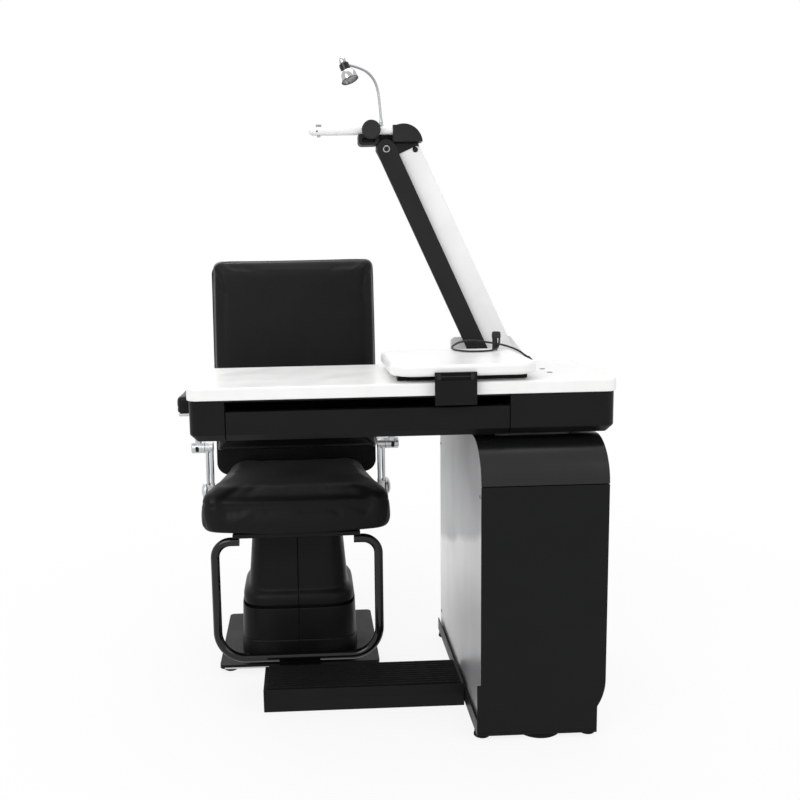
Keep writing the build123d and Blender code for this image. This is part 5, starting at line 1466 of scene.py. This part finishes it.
class OPTOMETRY_OT_seat_cushion(bpy.types.Operator):
    """Stuff the seat cushion: a crowned pad on a drawn-in rim, with a seam round its sides"""
    bl_idname = "optometry.seat_cushion"
    bl_label = "Seat cushion"

    def execute(self, context):
        s = settings().soft
        y0, y1, z0, z1 = seat_low.y, seat_high.y, seat_low.z, seat_high.z
        front_half = (seat_high.x - seat_low.x) / 2 + 11
        rear_half = front_half - 62
        lip_drop, crown = 12, 12
        bm = bmesh.new()
        bmesh.ops.create_cube(bm, size=1)
        for v in bm.verts:
            half = front_half if v.co.y < 0 else rear_half
            v.co = Vector((
                chair_x + (half if v.co.x > 0 else -half),
                y0 + 9 if v.co.y < 0 else y1 - 6,
                z1 - crown if v.co.z > 0 else z0,
            ))
        soften(bm, 50, segments=8, edges=edges_along(bm, 2, 50))
        soften(bm, 30, segments=6, edges=edges_above(bm, 2, z1 - crown - 1))
        rim = [
            e for e in edges_below(bm, 2, z0 + 0.1)
            if e.is_manifold and e.calc_face_angle(0) > radians(30)
        ]
        soften(bm, 16, segments=4, edges=rim)
        made = soft_object("seat_upholstery", bm, s.voxel)

        def lip(place):
            """How much of the front lip, which hangs before the frame, a place takes part in."""
            before = (seat_frame_front - 2 - place.y) / 7
            reach = (place.x - chair_x) / front_half
            return max(0.0, min(1.0, before)) * max(0.0, 1 - reach * reach)

        def bowed(place):
            """The front bows to the viewer and rolls down, and its corners lift a little."""
            up = (place.z - z0) / (z1 - z0)
            reach = (place.x - chair_x) / front_half
            front = max(0.0, 1 - (place.y - y0) / 110)
            place.y -= 12 * (1 - reach * reach) * front
            place.z -= 20 * front * front * max(0.0, up - 0.25)
            place.z += 9 * reach ** 4 * max(0.0, 1 - 2.2 * up)
            place.z -= lip_drop * lip(place) * max(0.0, 1 - 2.5 * up)
            return place

        def finished(place):
            """The seam draws the cover in, and nothing hangs lower than the lip."""
            place.z = max(place.z, z0 - lip_drop * lip(place))
            inward = Vector((chair_x - place.x, (y0 + y1) / 2 - place.y, 0))
            return sewn(place, s.seam_height / mm, 6, inward, s.seam_depth / mm)

        reshape(made, bowed)
        stuffed(made, s.cap, lambda place: place.z < z0 + 8)
        reshape(made, finished)
        upholstered(made, "seat_cushion")
        return {"FINISHED"}


class OPTOMETRY_OT_back_cushion(bpy.types.Operator):
    """Stuff the back cushion on its leaning shell"""
    bl_idname = "optometry.back_cushion"
    bl_label = "Back cushion"

    def execute(self, context):
        s = settings().soft
        lean = radians(5)
        up = Vector((0, sin(lean), cos(lean)))
        ahead = Vector((0, -cos(lean), sin(lean)))
        back_low, back_high = station("back_cushion")
        # The shell's rear face leans through this place, its middle
        shell_middle = Vector((chair_x + 4, 413.7, 888.8))
        half_x, half_z = (back_high.x - back_low.x) / 2 + 1, 311
        near, deep = 12.4, 66
        bm = bmesh.new()
        bmesh.ops.create_cube(bm, size=1)
        for v in bm.verts:
            v.co = Vector((
                half_x if v.co.x > 0 else -half_x, deep if v.co.y > 0 else near,
                half_z if v.co.z > 0 else -half_z,
            ))
        upper = [e for e in edges_along(bm, 1, 20) if e.verts[0].co.z > 0]
        soften(bm, 34, segments=8, edges=upper)
        lower = [
            e for e in edges_along(bm, 1, 20)
            if e.verts[0].co.z < 0 and abs(e.verts[0].co.x) > half_x - 1
        ]
        soften(bm, 12, segments=5, edges=lower)
        soften(bm, 20, segments=5, edges=edges_above(bm, 1, deep - 0.1))
        soften(bm, 6, segments=2, edges=edges_below(bm, 1, near + 0.1))
        made = soft_object("back_upholstery", bm, s.voxel)
        stuffed(made, s.cap, lambda place: place.y < near + 4)

        def leaned(place):
            """The sides bow a little at mid height, and the whole leans on the shell."""
            across = place.x * (1 + 0.012 * (1 - (place.z / half_z) ** 2))
            out = max(place.y, near)
            return shell_middle + TO_RIGHT * across + ahead * out + up * place.z

        reshape(made, leaned)
        upholstered(made, "back_cushion")
        return {"FINISHED"}


class OPTOMETRY_OT_arm_pads(bpy.types.Operator):
    """Stuff the two arm pads"""
    bl_idname = "optometry.arm_pads"
    bl_label = "Arm pads"

    def execute(self, context):
        self.pad("arm_pad_left")
        self.pad("arm_pad_right")
        return {"FINISHED"}

    def pad(self, node):
        """A rounded pad, flat below, with a seam round it."""
        s = settings().soft
        lowest, highest = station(node)
        middle = (lowest + highest) / 2
        bm = bmesh.new()
        block(bm, lowest + Vector((2.5, 2.5, 0)), highest - Vector((2.5, 2.5, 3)))
        soften(bm, 20, segments=6, edges=edges_along(bm, 2, 20))
        soften(bm, 12, segments=4, edges=edges_above(bm, 2, middle.z + 10))
        soften(bm, 6, segments=3, edges=edges_below(bm, 2, lowest.z + 0.1))
        made = soft_object(node + "_upholstery", bm, s.pad_voxel)
        stuffed(made, s.pad_cap, lambda place: place.z < lowest.z + 5)

        def finished(place):
            """The underside is flat, and a seam runs round the pad."""
            place.z = max(place.z, lowest.z)
            inward = Vector((middle.x - place.x, (middle.y - place.y) * 0.2, 0))
            return sewn(place, lowest.z + 16, 4.5, inward, 1.4)

        reshape(made, finished)
        upholstered(made, node)


# Finishes of the carried-over parts
class OPTOMETRY_OT_finishes(bpy.types.Operator):
    """Give each carried-over part its finish"""
    bl_idname = "optometry.finishes"
    bl_label = "Finishes"

    def execute(self, context):
        for node, obj in frame["nodes"].items():
            if node not in FINISH_OF:
                raise RuntimeError(f"no finish is named for {node}")
            obj.data.materials.clear()
            obj.data.materials.append(finish(FINISH_OF[node]))
        return {"FINISHED"}


# Panel and registration
BUILDERS = (
    OPTOMETRY_OT_camera, OPTOMETRY_OT_cable, OPTOMETRY_OT_cabinet, OPTOMETRY_OT_foot_step,
    OPTOMETRY_OT_table, OPTOMETRY_OT_arm, OPTOMETRY_OT_clamp, OPTOMETRY_OT_lamp,
    OPTOMETRY_OT_column_covers, OPTOMETRY_OT_chair, OPTOMETRY_OT_armrests,
    OPTOMETRY_OT_seat_cushion, OPTOMETRY_OT_back_cushion, OPTOMETRY_OT_arm_pads,
    OPTOMETRY_OT_finishes, OPTOMETRY_OT_stage,
)


class OPTOMETRY_PT_panel(bpy.types.Panel):
    """Lists the builders of the optometry table"""
    bl_label = "Optometry table"
    bl_idname = "OPTOMETRY_PT_panel"
    bl_space_type = "VIEW_3D"
    bl_region_type = "UI"
    bl_category = "Optometry"

    def draw(self, context):
        for builder in BUILDERS:
            self.layout.operator(builder.bl_idname)


GROUPS = (
    ViewSettings, ColourSettings, SoftSettings, CableSettings, FittingSettings, TableSettings,
)
CLASSES = GROUPS + BUILDERS + (OPTOMETRY_PT_panel,)


def register():
    for each in CLASSES:
        bpy.utils.register_class(each)
    bpy.types.Scene.optometry_table = PointerProperty(type=TableSettings)


def unregister():
    del bpy.types.Scene.optometry_table
    for each in reversed(CLASSES):
        bpy.utils.unregister_class(each)


def main():
    register()
    for builder in BUILDERS:
        group, name = builder.bl_idname.split(".")
        getattr(getattr(bpy.ops, group), name)()


if __name__ == "__main__":
    main()
